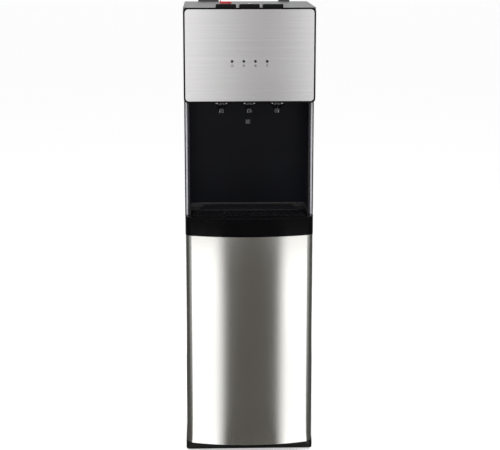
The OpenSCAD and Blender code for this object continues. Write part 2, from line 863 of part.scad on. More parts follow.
module bottle_probe() {
    color([0.85, 0.85, 0.87]) from_front() {
        post(probe_x, probe_y, shelf_z - 38, probe_seat - 3 - touch, 52);
        post(probe_x, probe_y, shelf_z - 39, probe_seat + eps, 18);
        post(probe_x, probe_y, probe_seat, shelf_z - 3, 28);
        post(probe_x, probe_y, base_top + 40, shelf_z - 37, 12);
    }
}

module probe_hose() {
    hose_z = shelf_top + 40;
    color([0.8, 0.8, 0.82]) from_front() pipe([
        [probe_x, probe_y, shelf_z - 3], [probe_x, probe_y, hose_z], [probe_x, pump_y + pump_w / 2, hose_z]
    ], pipe_d - 2);
}

module water_pump() {
    color([0.3, 0.3, 0.32]) from_front() {
        translate([pump_x, pump_y, shelf_top]) linear_extrude(pump_h - 12) rounded(pump_w, pump_w, 8);
        post(pump_x, pump_y, shelf_top + pump_h - 14, shelf_top + pump_h, pump_w - 14);
    }
}

// Tanks

// Closed round vessel standing on z = 0, drawn in by an inset for its hollow
module vessel(d, h, inset) {
    r = d / 2 - inset;
    bend = 8 - inset;
    translate([0, 0, inset]) rotate_extrude($fn = round_fn) polygon(concat(
        [[0, 0], [r - bend, 0]],
        arc([r - bend, bend], bend, -90, 0, 5),
        arc([r - bend, h - 2 * inset - bend], bend, 0, 90, 5),
        [[0, h - 2 * inset]]
    ));
}

module cold_tank() {
    color("silver") from_front() translate([cold_x, tank_y, platform_z + foam_floor]) difference() {
        vessel(cold_tank_d, cold_tank_h, 0);
        vessel(cold_tank_d, cold_tank_h, tank_wall_t);
    }
}

module evaporator_coil() {
    color([0.72, 0.45, 0.3]) from_front() translate([cold_x, tank_y, platform_z + foam_floor + 36])
        winding((cold_tank_d + coil_d) / 2 + coil_gap, coil_d, cold_tank_h - 52, 4, 18, 6);
}

module foam_jacket() {
    top_z = platform_z + foam_floor + cold_tank_h;
    color([0.9, 0.9, 0.88]) from_front() difference() {
        post(cold_x, tank_y, platform_z, top_z + foam_floor, 2 * foam_r);
        post(cold_x, tank_y, platform_z + foam_floor, top_z, 2 * foam_in_r);
        rod(spout_xs[2], pipe_z, 100, tank_y, pipe_d + 1);
        rod(drain_x, drain_z, tank_y, cabinet_d, drain_d + 1);
    }
}

module hot_tank() {
    color("silver") from_front() translate([hot_x, tank_y, platform_z]) {
        cylinder(h = foam_floor, d = 56, $fn = round_fn);
        translate([0, 0, foam_floor]) difference() {
            vessel(hot_tank_d, hot_tank_h, 0);
            vessel(hot_tank_d, hot_tank_h, tank_wall_t);
        }
    }
}

// Depth at which a pipe at a given x first meets a round tank's wall
function tank_wall(x, middle_x, r) = tank_y - sqrt(pow(r, 2) - pow(max(0, abs(x - middle_x) - pipe_d / 2), 2));

module water_pipes() {
    low = platform_z - ceiling_t + spout_stem_h;
    pump_pipe_z = shelf_top + pump_h + 40;
    color([0.85, 0.85, 0.87]) from_front() {
        pipe([
            [spout_xs[0], spout_y, low], [spout_xs[0], spout_y, pipe_z],
            [spout_xs[0], tank_wall(spout_xs[0], hot_x, hot_tank_d / 2), pipe_z]
        ], pipe_d);
        pipe([
            [spout_xs[2], spout_y, low], [spout_xs[2], spout_y, pipe_z],
            [spout_xs[2], tank_wall(spout_xs[2], cold_x, cold_tank_d / 2), pipe_z]
        ], pipe_d);
        pipe([
            [0, spout_y, low], [0, spout_y, pipe_z], [riser_x, spout_y, pipe_z], [riser_x, riser_y, pipe_z],
            [riser_x, riser_y, pump_pipe_z], [pump_x, riser_y, pump_pipe_z], [pump_x, pump_y, pump_pipe_z],
            [pump_x, pump_y, shelf_top + pump_h]
        ], pipe_d);
    }
}

// Cooling circuit

// The compressor's round shell, drawn in by an inset for its hollow
module compressor_shell(inset) {
    dome = 26;
    r = compressor_d / 2 - dome;
    rotate_extrude($fn = round_fn) polygon(concat(
        [[0, inset], [r - inset / 2, inset]],
        arc([r, plate_t + dome], dome - inset, -60, 0, 6),
        arc([r, plate_t + compressor_h - dome], dome - inset, 0, 90, 8),
        [[0, plate_t + compressor_h - inset]]
    ));
}

module compressor() {
    color(black) from_front() translate([compressor_x, compressor_y, compressor_z]) {
        difference() {
            union() {
                translate([-compressor_d / 2, -52, 0]) cube([compressor_d, 104, plate_t]);
                compressor_shell(0);
            }
            compressor_shell(shell_wall);
        }
    }
}

module compressor_mounts() {
    r = compressor_d / 2;
    color(dark) from_front() for (x = [-1, 1], y = [-1, 1])
        post(compressor_x + x * (r - 9), compressor_y + y * 42, shelf_top, compressor_z, mount_d);
}

module refrigerant_pipes() {
    bend_z = compressor_top + 24;
    suction_bend_z = compressor_top + 50;
    suction_in = compressor_x + 25;
    back = side_back - touch;
    color([0.72, 0.45, 0.3]) from_front() {
        pipe([
            [compressor_x, compressor_y, compressor_top], [compressor_x, compressor_y, bend_z],
            [inlet_x, compressor_y, bend_z], [inlet_x, compressor_y, condenser_top], [inlet_x, back, condenser_top]
        ], condenser_tube_d);
        pipe([[outlet_x, back, condenser_z], [outlet_x, pipes_y, condenser_z], [outlet_x, pipes_y, dryer_z]], condenser_tube_d);
        pipe([[outlet_x, pipes_y, dryer_z + dryer_h], [outlet_x, pipes_y, platform_z + 20]], capillary_d);
        pipe([
            [suction_x, pipes_y, platform_z + 26], [suction_x, pipes_y, suction_bend_z],
            [suction_x, compressor_y, suction_bend_z], [suction_in, compressor_y, suction_bend_z],
            [suction_in, compressor_y, compressor_top]
        ], suction_d);
    }
}

module filter_dryer() {
    color([0.72, 0.45, 0.3]) from_front() translate([outlet_x, pipes_y, dryer_z]) rotate_extrude($fn = round_fn)
        polygon([[0, 0], [3, 0], [9, 10], [9, dryer_h - 10], [3, dryer_h], [0, dryer_h]]);
}

// Straight run of the condenser and the round bend that leads to the next one up
module condenser_run(k) {
    z = condenser_z + k * condenser_pitch;
    side = k % 2 == 0 ? -1 : 1;
    left = -condenser_half;
    right = k == 0 ? outlet_x : k == runs - 1 ? inlet_x : condenser_half;
    translate([left, condenser_y, z]) rotate([0, 90, 0]) cylinder(h = right - left, d = condenser_tube_d, $fn = 24);
    if (k < runs - 1)
        translate([side * condenser_half, condenser_y, z + condenser_pitch / 2])
            rotate([90, 0, 0]) rotate([0, 0, -90 * side])
                rotate_extrude(angle = 180, $fn = 32)
                    translate([condenser_pitch / 2, 0]) circle(d = condenser_tube_d, $fn = 24);
}

module condenser() {
    wire = 1.6;
    wire_y = condenser_y + condenser_tube_d / 2 + fit;
    color([0.12, 0.12, 0.12]) from_front() {
        for (k = [0:runs - 1]) condenser_run(k);
        for (end = [[inlet_x, condenser_top], [outlet_x, condenser_z]]) {
            translate([end[0], condenser_y, end[1]]) sphere(d = condenser_tube_d, $fn = 24);
            rod(end[0], end[1], side_back, condenser_y, condenser_tube_d);
        }
        for (x = [15 - condenser_half:wire_pitch:condenser_half - 15])
            block([x - wire / 2, wire_y, condenser_z - 6], [x + wire / 2, wire_y + wire, condenser_top + 6]);
    }
}

module condenser_brackets() {
    color(dark) from_front() for (x = [25 - condenser_half, condenser_half - 25], k = [1, runs - 2]) {
        z = condenser_z + k * condenser_pitch;
        difference() {
            block([x - 5, cabinet_d, z - 6], [x + 5, condenser_y + 1, z + 6]);
            translate([x - 6, condenser_y, z]) rotate([0, 90, 0]) cylinder(h = 12, d = condenser_tube_d + 2 * fit, $fn = 24);
        }
    }
}

// Switches and drain at the back

module along_x(x0, x1, d) {
    translate([x0, rocker_y, switch_z]) rotate([0, 90, 0]) cylinder(h = x1 - x0, d = d, $fn = round_fn);
}

module switch_housing() {
    well = rocker_w + 2 * slip;
    color(dark) from_front() difference() {
        union() {
            translate([switch_x, 0, 0]) front_plate(64, 34, 3, switch_z, cabinet_d, cabinet_d + 2);
            block([switch_x - 28, cabinet_d - 17, switch_z - 13], [switch_x + 28, cabinet_d + eps, switch_z + 13]);
        }
        for (x = switch_xs) {
            along_x(x - well / 2, x + well / 2, 2 * (rocker_r + slip));
            along_x(x - well / 2 - 1.5, x + well / 2 + 1.5, pivot_d + 2 * fit);
        }
    }
}

module rocker(x) {
    color(black) from_front() {
        translate([x - rocker_w / 2, rocker_y, switch_z]) rotate([rocker_tilt, 0, 0]) rotate([90, 0, 90])
            linear_extrude(rocker_w) intersection() {
                circle(rocker_r, $fn = round_fn);
                polygon([[-rocker_r, -8], [3, -8], [5, -10], [6, 0], [5, 10], [3, 8], [-rocker_r, 8]]);
            }
        along_x(x - rocker_w / 2 - 1.5, x + rocker_w / 2 + 1.5, pivot_d);
    }
}

module rocker_hot() { rocker(switch_xs[0]); }

module rocker_cold() { rocker(switch_xs[1]); }

module drain_outlet() {
    color(dark) from_front() difference() {
        union() {
            rod(drain_x, drain_z, tank_y + cold_tank_d / 2, cabinet_d + drain_len, drain_d);
            rod(drain_x, drain_z, cabinet_d, cabinet_d + 3, drain_d + 14);
        }
        rod(drain_x, drain_z, tank_y, cabinet_d + drain_len + eps, drain_d - 7);
    }
}

module drain_cap() {
    color([0.3, 0.3, 0.32]) from_front() difference() {
        rod(drain_x, drain_z, cabinet_d + 3 + touch, cabinet_d + drain_len + 4, drain_d + 7);
        rod(drain_x, drain_z, cabinet_d, cabinet_d + drain_len + touch, drain_d + 2 * fit);
    }
}

base_tray();
rear_feet();
front_foot_left();
front_foot_right();
side_left();
side_right();
back_lower();
back_upper();
mid_shelf();
top_cover();
wall_spacers();
panel_frame();
panel_skin();
indicator_lenses();
indicator_board();
alcove_shell();
alcove_trims();
spout_hot();
spout_room();
spout_cold();
sensor_window();
key_bed();
key_hot();
key_room();
key_cold();
child_lock();
spring_hot();
spring_room();
spring_cold();
microswitches();
tray_housing();
drip_tray();
drip_grille();
door_skin();
door_liner();
door_caps();
door_magnet();
catch_plate();
hinge_upper();
hinge_lower();
bottle_floor();
bottle_probe();
probe_hose();
water_pump();
cold_tank();
evaporator_coil();
foam_jacket();
hot_tank();
water_pipes();
compressor();
compressor_mounts();
refrigerant_pipes();
filter_dryer();
condenser();
condenser_brackets();
switch_housing();
rocker_hot();
rocker_cold();
drain_outlet();
drain_cap();
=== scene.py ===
"""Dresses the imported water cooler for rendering.

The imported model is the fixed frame. This script gives every node its finish, replaces the
nodes whose curves need a smoother surface, adds the small fittings that the solids leave
out, and sets up the floor, the lights and the camera.
"""

from __future__ import annotations

import json
import logging
import math
from collections.abc import Callable, Iterable, Sequence
from dataclasses import dataclass
from enum import Enum

import bmesh
import bpy
from mathutils import Matrix, Vector

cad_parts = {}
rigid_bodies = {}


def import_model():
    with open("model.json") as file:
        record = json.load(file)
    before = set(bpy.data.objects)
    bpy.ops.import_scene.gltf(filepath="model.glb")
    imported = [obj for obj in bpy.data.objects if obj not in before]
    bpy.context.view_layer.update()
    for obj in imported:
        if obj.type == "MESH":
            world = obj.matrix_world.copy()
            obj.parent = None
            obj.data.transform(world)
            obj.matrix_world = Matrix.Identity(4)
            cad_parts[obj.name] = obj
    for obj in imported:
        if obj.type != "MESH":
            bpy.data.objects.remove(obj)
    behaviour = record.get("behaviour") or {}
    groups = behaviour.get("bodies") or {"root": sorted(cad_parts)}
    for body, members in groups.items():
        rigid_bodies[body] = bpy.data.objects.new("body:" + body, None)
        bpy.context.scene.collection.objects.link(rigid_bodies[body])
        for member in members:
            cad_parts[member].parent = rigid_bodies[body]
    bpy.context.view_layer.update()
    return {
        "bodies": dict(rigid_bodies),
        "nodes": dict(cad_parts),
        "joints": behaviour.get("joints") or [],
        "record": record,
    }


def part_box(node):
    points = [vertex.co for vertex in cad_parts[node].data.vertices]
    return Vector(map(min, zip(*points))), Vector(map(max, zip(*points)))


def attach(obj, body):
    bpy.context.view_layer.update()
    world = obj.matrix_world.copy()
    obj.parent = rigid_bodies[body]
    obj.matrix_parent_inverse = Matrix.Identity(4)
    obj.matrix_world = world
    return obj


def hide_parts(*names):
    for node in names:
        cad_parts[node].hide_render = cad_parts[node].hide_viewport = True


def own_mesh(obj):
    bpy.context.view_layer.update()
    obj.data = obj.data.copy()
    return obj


LOG = logging.getLogger("water_cooler")
MM = 0.001
PANEL_Y = -0.168
FRAME_WIDTH = 500.0
WHITE = (1.0, 1.0, 1.0, 1.0)

Colour = tuple[float, float, float]
Point = tuple[float, float, float]
Material = bpy.types.Material
Socket = bpy.types.NodeSocket
Shape = bmesh.types.BMesh
Vert = bmesh.types.BMVert
Edge = bmesh.types.BMEdge


# Finishes


class Nodes:
    """A node tree under construction."""

    def __init__(self, tree: bpy.types.NodeTree) -> None:
        """Keeps the material's or the world's node tree."""
        self.tree = tree

    def node(
        self, kind: str, sockets: dict[str | int, object] | None = None, **settings: object
    ) -> bpy.types.Node:
        """Adds a node.

        Args:
            kind: The node's type without its ShaderNode prefix.
            sockets: Values or output sockets for the node's inputs.
            **settings: Values for the node's own properties.

        Returns:
            The new node.
        """
        made = self.tree.nodes.new("ShaderNode" + kind)
        for key, value in settings.items():
            setattr(made, key, value)
        for key, value in (sockets or {}).items():
            self.feed(made.inputs[key], value)
        return made

    def feed(self, target: Socket, value: object) -> None:
        """Links an output socket to an input, or sets the input's value.

        Args:
            target: The input socket.
            value: An output socket or a plain value.
        """
        if isinstance(value, Socket):
            self.tree.links.new(value, target)
        else:
            target.default_value = value

    def reckon(self, operation: str, *values: object) -> Socket:
        """Gives a Math node's result for an operation on numbers or sockets."""
        return self.node("Math", dict(enumerate(values)), operation=operation).outputs[0]

    def direct_view(self) -> Socket:
        """Tells what the camera sees straight, mirrored or through something clear.

        Returns:
            1 for such rays, 0 for the rest.
        """
        rays = self.node("LightPath").outputs
        seen = self.reckon("MAXIMUM", rays["Is Camera Ray"], rays["Is Glossy Ray"])
        return self.reckon("MAXIMUM", seen, rays["Is Transmission Ray"])


class Shader(Nodes):
    """A material's nodes, around one Principled shader."""

    def __init__(self, name: str = "finish") -> None:
        """Starts a material.

        Args:
            name: The material's name.
        """
        self.material = bpy.data.materials.new(name)
        self.material.use_nodes = True
        super().__init__(self.material.node_tree)
        self.surface = self.tree.nodes["Principled BSDF"]
        self.place = self.node("TexCoord").outputs["Object"]

    def set(self, **values: object) -> Shader:
        """Sets the Principled shader's own inputs, with underscores for spaces.

        Args:
            **values: Values or output sockets by input name.

        Returns:
            The same shader.
        """
        for key, value in values.items():
            self.feed(self.surface.inputs[key.replace("_", " ")], value)
        return self

    def axes(self) -> list[Socket]:
        """Gives x, y and z of the Object coordinates."""
        return list(self.node("SeparateXYZ", {0: self.place}).outputs)

    def noise(self, scale: float, detail: float = 3.0, place: Socket | None = None) -> Socket:
        """Gives a noise texture's value, on the Object coordinates or on other ones."""
        sockets = {"Vector": place or self.place, "Scale": scale, "Detail": detail}
        return self.node("TexNoise", sockets).outputs[0]

    def spread(
        self, value: Socket, low: float = 0.0, high: float = 1.0, near: float = 0.3, far: float = 0.7
    ) -> Socket:
        """Maps a value from the range near to far to the range low to high."""
        ends = {"From Min": near, "From Max": far, "To Min": low, "To Max": high}
        return self.node("MapRange", {"Value": value, **ends}).outputs["Result"]

    def blend(self, amount: Socket, low: Colour, high: Colour) -> Socket:
        """Mixes two colours by the amount of the second."""
        sockets = {0: amount, 6: (*low, 1.0), 7: (*high, 1.0)}
        return self.node("Mix", sockets, data_type="RGBA").outputs[2]

    def drift(self, amount: Socket, colour: Colour, low: float, high: float) -> Socket:
        """Lets a colour drift between two multiples of itself."""
        return self.blend(amount, shade(colour, low), shade(colour, high))

    def relief(
        self, height: Socket, depth: float, edge: float = 0.0, strength: float = 1.0
    ) -> Material:
        """Ends a material with a bump, over edges that read as rounded.

        Args:
            height: The bump's height from 0 to 1.
            depth: The bump's depth in metres.
            edge: The radius of the rounded edges in metres, or 0 for none.
            strength: The bump's strength.

        Returns:
            The material.
        """
        bump = self.node("Bump", {"Height": height, "Distance": depth, "Strength": strength})
        if edge:
            rounded = self.node("Bevel", {"Radius": edge}, samples=4)
            self.feed(bump.inputs["Normal"], rounded.outputs[0])
        return self.set(Normal=bump.outputs[0]).material


def shade(colour: Colour, factor: float) -> Colour:
    """Makes a colour lighter or darker, each part at most 1."""
    return tuple(min(1.0, part * factor) for part in colour)


@dataclass(frozen=True)
class Finish:
    """What every finish has: its main colour."""

    colour: Colour


@dataclass(frozen=True)
class Plastic(Finish):
    """Moulded plastic with a fine grain and faint mould clouding.

    cloud and scuff each hold a noise's scale and detail, then the least and the most that it
    multiplies the colour or the roughness by. detail is the grain's.
    """

    roughness: float = 0.35
    grain: float = 2200.0
    depth: float = 0.00002
    edge: float = 0.0006
    shine: float = 0.5
    cloud: tuple[float, ...] = (9.0, 4.0, 0.88, 1.14)
    scuff: tuple[float, ...] = (70.0, 6.0, 0.88, 1.14)
    detail: float = 2.0
    coat: float = 0.0

    def make(self) -> Material:
        """Builds the material.

        Returns:
            The material.
        """
        shader = Shader()
        tone = shader.spread(shader.noise(*self.cloud[:2]))
        rough = [self.roughness * factor for factor in self.scuff[2:]]
        shader.set(
            Base_Color=shader.drift(tone, self.colour, *self.cloud[2:]),
            Roughness=shader.spread(shader.noise(*self.scuff[:2]), *rough),
            Specular_IOR_Level=self.shine,
            Coat_Weight=self.coat,
            Coat_Roughness=0.04,
        )
        return shader.relief(shader.noise(self.grain, self.detail), self.depth, self.edge)


@dataclass(frozen=True)
class Painted(Plastic):
    """Sheet metal under paint or powder, with a soft peel."""

    roughness: float = 0.4
    grain: float = 700.0
    depth: float = 0.00003
    edge: float = 0.0004
    cloud: tuple[float, ...] = (5.0, 5.0, 0.86, 1.15)
    scuff: tuple[float, ...] = (40.0, 4.0, 0.85, 1.2)


@dataclass(frozen=True)
class Lens(Plastic):
    """Smoked clear plastic over a dark bed."""

    roughness: float = 0.12
    grain: float = 1500.0
    depth: float = 0.00001
    edge: float = 0.0004
    cloud: tuple[float, ...] = (200.0, 2.0, 0.9, 1.1)
    scuff: tuple[float, ...] = (200.0, 2.0, 0.8, 1.2)
    detail: float = 1.0
    coat: float = 0.6


@dataclass(frozen=True)
class EdgedTrim(Finish):
    """A bright upright strip whose inner margin is dark."""

    dark: Colour
    margin: float
    roughness: float = 0.28
    blur: float = 0.0002

    def make(self) -> Material:
        """Builds the material.

        Returns:
            The material.
        """
        shader = Shader()
        aside = shader.reckon("ABSOLUTE", shader.axes()[0])
        strip = shader.spread(aside, 0.0, 1.0, self.margin - self.blur, self.margin + self.blur)
        shader.set(
            Base_Color=shader.blend(strip, self.dark, self.colour),
            Roughness=shader.spread(shader.noise(60.0, 4.0), self.roughness * 0.9, self.roughness * 1.12),
        )
        return shader.relief(shader.noise(1200.0, 2.0), 0.00001, 0.0004)


@dataclass(frozen=True)
class BrushedSteel(Finish):
    """Stainless steel with fine streaks that run from side to side."""

    roughness: float
    streak: float = 0.08
    stretch: float = 0.5
    brushing: Point = (3.0, 40.0, 900.0)

    def make(self) -> Material:
        """Builds the material.

        Returns:
            The material.
        """
        shader = Shader()
        brushed = shader.node("Mapping", {"Vector": shader.place, "Scale": self.brushing})
        fine = shader.noise(1.0, 3.0, brushed.outputs["Vector"])
        tone = shader.spread(fine, 0.0, 1.0, 0.25, 0.75)
        shader.set(
            Base_Color=shader.drift(tone, self.colour, 1.0 - self.streak, 1.0 + self.streak),
            Metallic=1.0,
            Roughness=shader.spread(shader.noise(2.5), self.roughness * 0.92, self.roughness * 1.08),
            Anisotropic=self.stretch,
            Anisotropic_Rotation=0.25,
            Tangent=shader.node("Tangent", direction_type="RADIAL", axis="Z").outputs[0],
        )
        return shader.relief(fine, 0.000012, strength=0.5)


@dataclass(frozen=True)
class Zinc(Finish):
    """Galvanised sheet with its faint spangle."""

    roughness: float = 0.42

    def make(self) -> Material:
        """Builds the material.

        Returns:
            The material.
        """
        shader = Shader()
        warp = shader.node("TexNoise", {"Vector": shader.place, "Scale": 45.0, "Detail": 3.0})
        pulled = shader.node("Mix", {0: 0.012, 4: shader.place, 5: warp.outputs["Color"]}, data_type="VECTOR")
        spangle = shader.node("TexVoronoi", {"Vector": pulled.outputs[1], "Scale": 85.0})
        tone = shader.node("SeparateColor", {0: spangle.outputs["Color"]}).outputs[0]
        cloud = shader.spread(shader.noise(4.0, 4.0))
        mixed = shader.reckon("MULTIPLY_ADD", cloud, 0.5, shader.reckon("MULTIPLY", tone, 0.5))
        shader.set(
            Base_Color=shader.drift(mixed, self.colour, 0.9, 1.1),
            Metallic=0.85,
            Roughness=shader.spread(tone, self.roughness * 0.8, self.roughness * 1.2, 0.0, 1.0),
        )
        return shader.relief(shader.noise(300.0), 0.00002, 0.0003)


@dataclass(frozen=True)
class BareMetal(Finish):
    """Plain drawn metal, such as copper tube or spring wire, with slight tarnish."""

    tarnish: Colour
    roughness: float = 0.28

    def make(self) -> Material:
        """Builds the material.

        Returns:
            The material.
        """
        shader = Shader()
        cloud = shader.noise(35.0, 5.0)
        shader.set(
            Base_Color=shader.blend(shader.spread(cloud, 0.0, 1.0, 0.4, 0.75), self.colour, self.tarnish),
            Metallic=1.0,
            Roughness=shader.spread(cloud, self.roughness, self.roughness * 1.7),
        )
        return shader.relief(shader.noise(900.0, 2.0), 0.00001)


@dataclass(frozen=True)
class Rubber(Finish):
    """Soft rubber, silicone or foam, with a matt skin."""

    roughness: float = 0.75
    pores: float = 500.0
    depth: float = 0.0001
    glow: float = 0.0

    def make(self) -> Material:
        """Builds the material.

        Returns:
            The material.
        """
        shader = Shader()
        cell = shader.node("TexVoronoi", {"Vector": shader.place, "Scale": self.pores})
        cloud = shader.noise(25.0, 4.0)
        shader.set(
            Base_Color=shader.drift(shader.spread(cloud), self.colour, 0.85, 1.15),
            Roughness=shader.spread(cloud, self.roughness * 0.9, self.roughness * 1.1),
            Subsurface_Weight=self.glow,
            Subsurface_Radius=(0.01, 0.01, 0.01),
        )
        return shader.relief(cell.outputs["Distance"], self.depth)


@dataclass(frozen=True)
class CircuitBoard(Finish):
    """Green board with faint copper runs under the varnish."""

    def make(self) -> Material:
        """Builds the material.

        Returns:
            The material.
        """
        shader = Shader()
        upright = shader.node("Mapping", {"Vector": shader.place, "Rotation": (math.pi / 2, 0.0, 0.0)})
        tones = {"Color1": 1.0, "Color2": 1.3, "Mortar": 2.2}
        sockets = {key: (*shade(self.colour, factor), 1.0) for key, factor in tones.items()}
        runs = shader.node("TexBrick", {"Vector": upright.outputs[0], "Scale": 90.0, **sockets})
        return shader.set(Base_Color=runs.outputs[0], Roughness=0.3).relief(runs.outputs[1], 0.00005)


class Palette(Enum):
    """Every finish of the cooler, under its material's name."""

    DOOR_STEEL = BrushedSteel((0.78, 0.775, 0.755), 0.23, 0.035, 0.6)
    PANEL_STEEL = BrushedSteel((0.78, 0.77, 0.773), 0.26, 0.05, 0.6)
    TANK_STEEL = BrushedSteel((0.62, 0.62, 0.62), 0.3)
    GLOSS_BLACK = Plastic((0.0026, 0.0026, 0.0031), 0.11, 900.0, 0.000002, 0.0007, 0.1)
    ALCOVE_BLACK = Plastic((0.007, 0.0075, 0.0108), 0.32, 900.0, 0.000008, 0.0007, 0.11)
    SATIN_BLACK = Plastic((0.0085, 0.0085, 0.008), 0.42, 1800.0, 0.00003, 0.0008, 0.14)
    GRILLE_BLACK = Plastic((0.0055, 0.0055, 0.006), 0.26, 1800.0, 0.00001, 0.0005, 0.3)
    # Painted light: the ramp is the band's own black plastic, made lighter here to make up for the alcove's shade
    # over it.
    RAMP_BLACK_PAINTED_LIGHT = Plastic((0.012, 0.012, 0.014), 0.34, 900.0, 0.000008, 0.0007, 0.1)
    SPACER_BLACK = Plastic((0.045, 0.044, 0.048), 0.45, 1800.0, 0.00003, 0.0008)
    DECK_BLACK = Plastic((0.053, 0.053, 0.057), 0.4, 1500.0, 0.00003, 0.0008)
    KEY_BLACK = Plastic((0.0045, 0.0045, 0.005), 0.3, 1500.0, 0.00002, 0.0008, 0.13)
    MID_GREY = Plastic((0.42, 0.43, 0.44), 0.45, 1500.0, 0.00004)
    DARK_GREY = Plastic((0.11, 0.11, 0.12), 0.45, 1500.0, 0.00004)
    TRIM_GREY = EdgedTrim((0.44, 0.44, 0.475), (0.007, 0.0075, 0.0095), 0.1481)
    WHITE_PLASTIC = Plastic((0.75, 0.76, 0.77), 0.4)
    RED_PLASTIC = Plastic((0.62, 0.026, 0.036), 0.3, 1500.0, 0.00001, 0.0004)
    ROCKER_RED = Plastic((0.42, 0.025, 0.025), 0.3)
    ROCKER_GREEN = Plastic((0.03, 0.24, 0.08), 0.3)
    WINDOW_GREY = Plastic((0.06, 0.06, 0.062), 0.35, 900.0, 0.00001, 0.0003)
    WINDOW_BAR = Plastic((0.17, 0.17, 0.175), 0.35, 900.0, 0.00001, 0.0)
    SPOUT_BLACK = Plastic((0.006, 0.006, 0.007), 0.1, 900.0, 0.000001, 0.0, 0.85)
    SILL_BLACK = Plastic((0.009, 0.009, 0.011), 0.3, 900.0, 0.00001, 0.0, 1.0)
    MARK_GREY = Plastic((0.035, 0.028, 0.026), 0.5, 900.0, 0.00001, 0.0, 0.2)
    MARK_BLUE = Plastic((0.05, 0.2, 0.5), 0.4, 900.0, 0.00001, 0.0)
    RIM_BLACK = Plastic((0.006, 0.006, 0.006), 0.35, 900.0, 0.00001, 0.0, 0.3)
    SMOKED_LENS = Lens((0.012, 0.01, 0.01))
    SIDE_PAINT = Painted((0.018, 0.018, 0.02), 0.36, shine=0.4)
    ENAMEL = Painted((0.018, 0.018, 0.018), 0.25, 300.0)
    CONDENSER_PAINT = Painted((0.02, 0.02, 0.02), 0.5, 900.0, edge=0.0)
    ZINC_SHEET = Zinc((0.5, 0.51, 0.52))
    BARE_COPPER = BareMetal((0.72, 0.36, 0.2), (0.36, 0.16, 0.09))
    SPRING_WIRE = BareMetal((0.6, 0.6, 0.6), (0.4, 0.39, 0.38))
    SCREW_STEEL = BareMetal((0.5, 0.5, 0.52), (0.33, 0.33, 0.34), 0.35)
    BLACK_RUBBER = Rubber((0.025, 0.025, 0.025))
    MAGNET_STRIP = Rubber((0.05, 0.05, 0.05), 0.6)
    WHITE_SILICONE = Rubber((0.68, 0.69, 0.69), 0.45, 900.0, 0.00003, 0.15)
    JACKET_FOAM = Rubber((0.78, 0.77, 0.72), 0.9, 260.0, 0.0006)
    CIRCUIT_BOARD = CircuitBoard((0.03, 0.13, 0.07))


# Shapes


class Facing(Enum):
    """Where a flat fitting looks, as its turn about x from looking up."""

    FRONT = math.pi / 2
    BACK = -math.pi / 2
    UP = 0.0

    def at(self, spot: Point) -> Matrix:
        """Gives the place at a spot of a fitting that was made on the xy plane."""
        return Matrix.Translation(spot) @ Matrix.Rotation(self.value, 4, "X")

    def place(self, x: float, depth: float, z: float) -> Matrix:
        """Gives the place at an x, a z and a depth in millimetres behind the panel's face."""
        return self.at((x, front(depth), z))


def front(depth: float) -> float:
    """Turns a depth behind the panel's face, in millimetres, into the row's y in metres."""
    return PANEL_Y + depth * MM


def only(geometry: Iterable[object], *kinds: type) -> list[object]:
    """Picks the parts of some kinds, such as vertices, from mixed geometry."""
    return [part for part in geometry if isinstance(part, kinds)]


def level(edge: Edge, z: float) -> bool:
    """Tells whether an edge lies flat at a height."""
    return all(abs(vert.co.z - z) < 1e-6 for vert in edge.verts)


def rims(shape: Shape, z: float) -> list[Edge]:
    """Gives a shape's open edges that lie at a height."""
    return [edge for edge in shape.edges if len(edge.link_faces) < 2 and level(edge, z)]


def outward(shape: Shape) -> Shape:
    """Turns a shape's faces outwards."""
    bmesh.ops.recalc_face_normals(shape, faces=shape.faces)
    return shape


def chain(shape: Shape, spots: Iterable[Point]) -> list[object]:
    """Adds a line of vertices and edges through some points, and gives them."""
    verts = [shape.verts.new(spot) for spot in spots]
    return verts + [shape.edges.new(pair) for pair in zip(verts, verts[1:])]


class Sweep:
    """A wall that grows from an upright edge by straight runs and turns."""

    def __init__(self, x: float, y: float, low: float, high: float) -> None:
        """Stands the first edge.

        Args:
            x: The edge's x in metres.
            y: The edge's y in metres.
            low: The wall's lower z.
            high: The wall's upper z.
        """
        self.shape = bmesh.new()
        self.spot = Vector((x, y))
        self.tip = chain(self.shape, [(x, y, low), (x, y, high)])

    def go(self, x: float, y: float) -> Sweep:
        """Runs straight to a place.

        Args:
            x: The place's x.
            y: The place's y.

        Returns:
            The same sweep.
        """
        grown = bmesh.ops.extrude_edge_only(self.shape, edges=only(self.tip, Edge))["geom"]
        run = (*(Vector((x, y)) - self.spot), 0.0)
        bmesh.ops.translate(self.shape, vec=run, verts=only(grown, Vert))
        self.spot = Vector((x, y))
        self.tip = only(grown, Vert, Edge)
        return self

    def turn(self, middle: tuple[float, float], degrees: float, steps: int) -> Sweep:
        """Turns about an upright line.

        Args:
            middle: The line's x and y.
            degrees: How far to turn, anticlockwise from above.
            steps: How many faces the turn has.

        Returns:
            The same sweep.
        """
        angle = math.radians(degrees)
        about = {"cent": (*middle, 0.0), "axis": (0.0, 0.0, 1.0), "angle": angle}
        spun = bmesh.ops.spin(self.shape, geom=self.tip, steps=steps, use_merge=False, **about)
        self.tip = only(spun["geom_last"], Vert, Edge)
        self.spot = Matrix.Rotation(angle, 2) @ (self.spot - Vector(middle)) + Vector(middle)
        return self

    def joined(self) -> Shape:
        """Gives the shape with its doubles merged."""
        bmesh.ops.remove_doubles(self.shape, verts=self.shape.verts, dist=1e-6)
        return self.shape


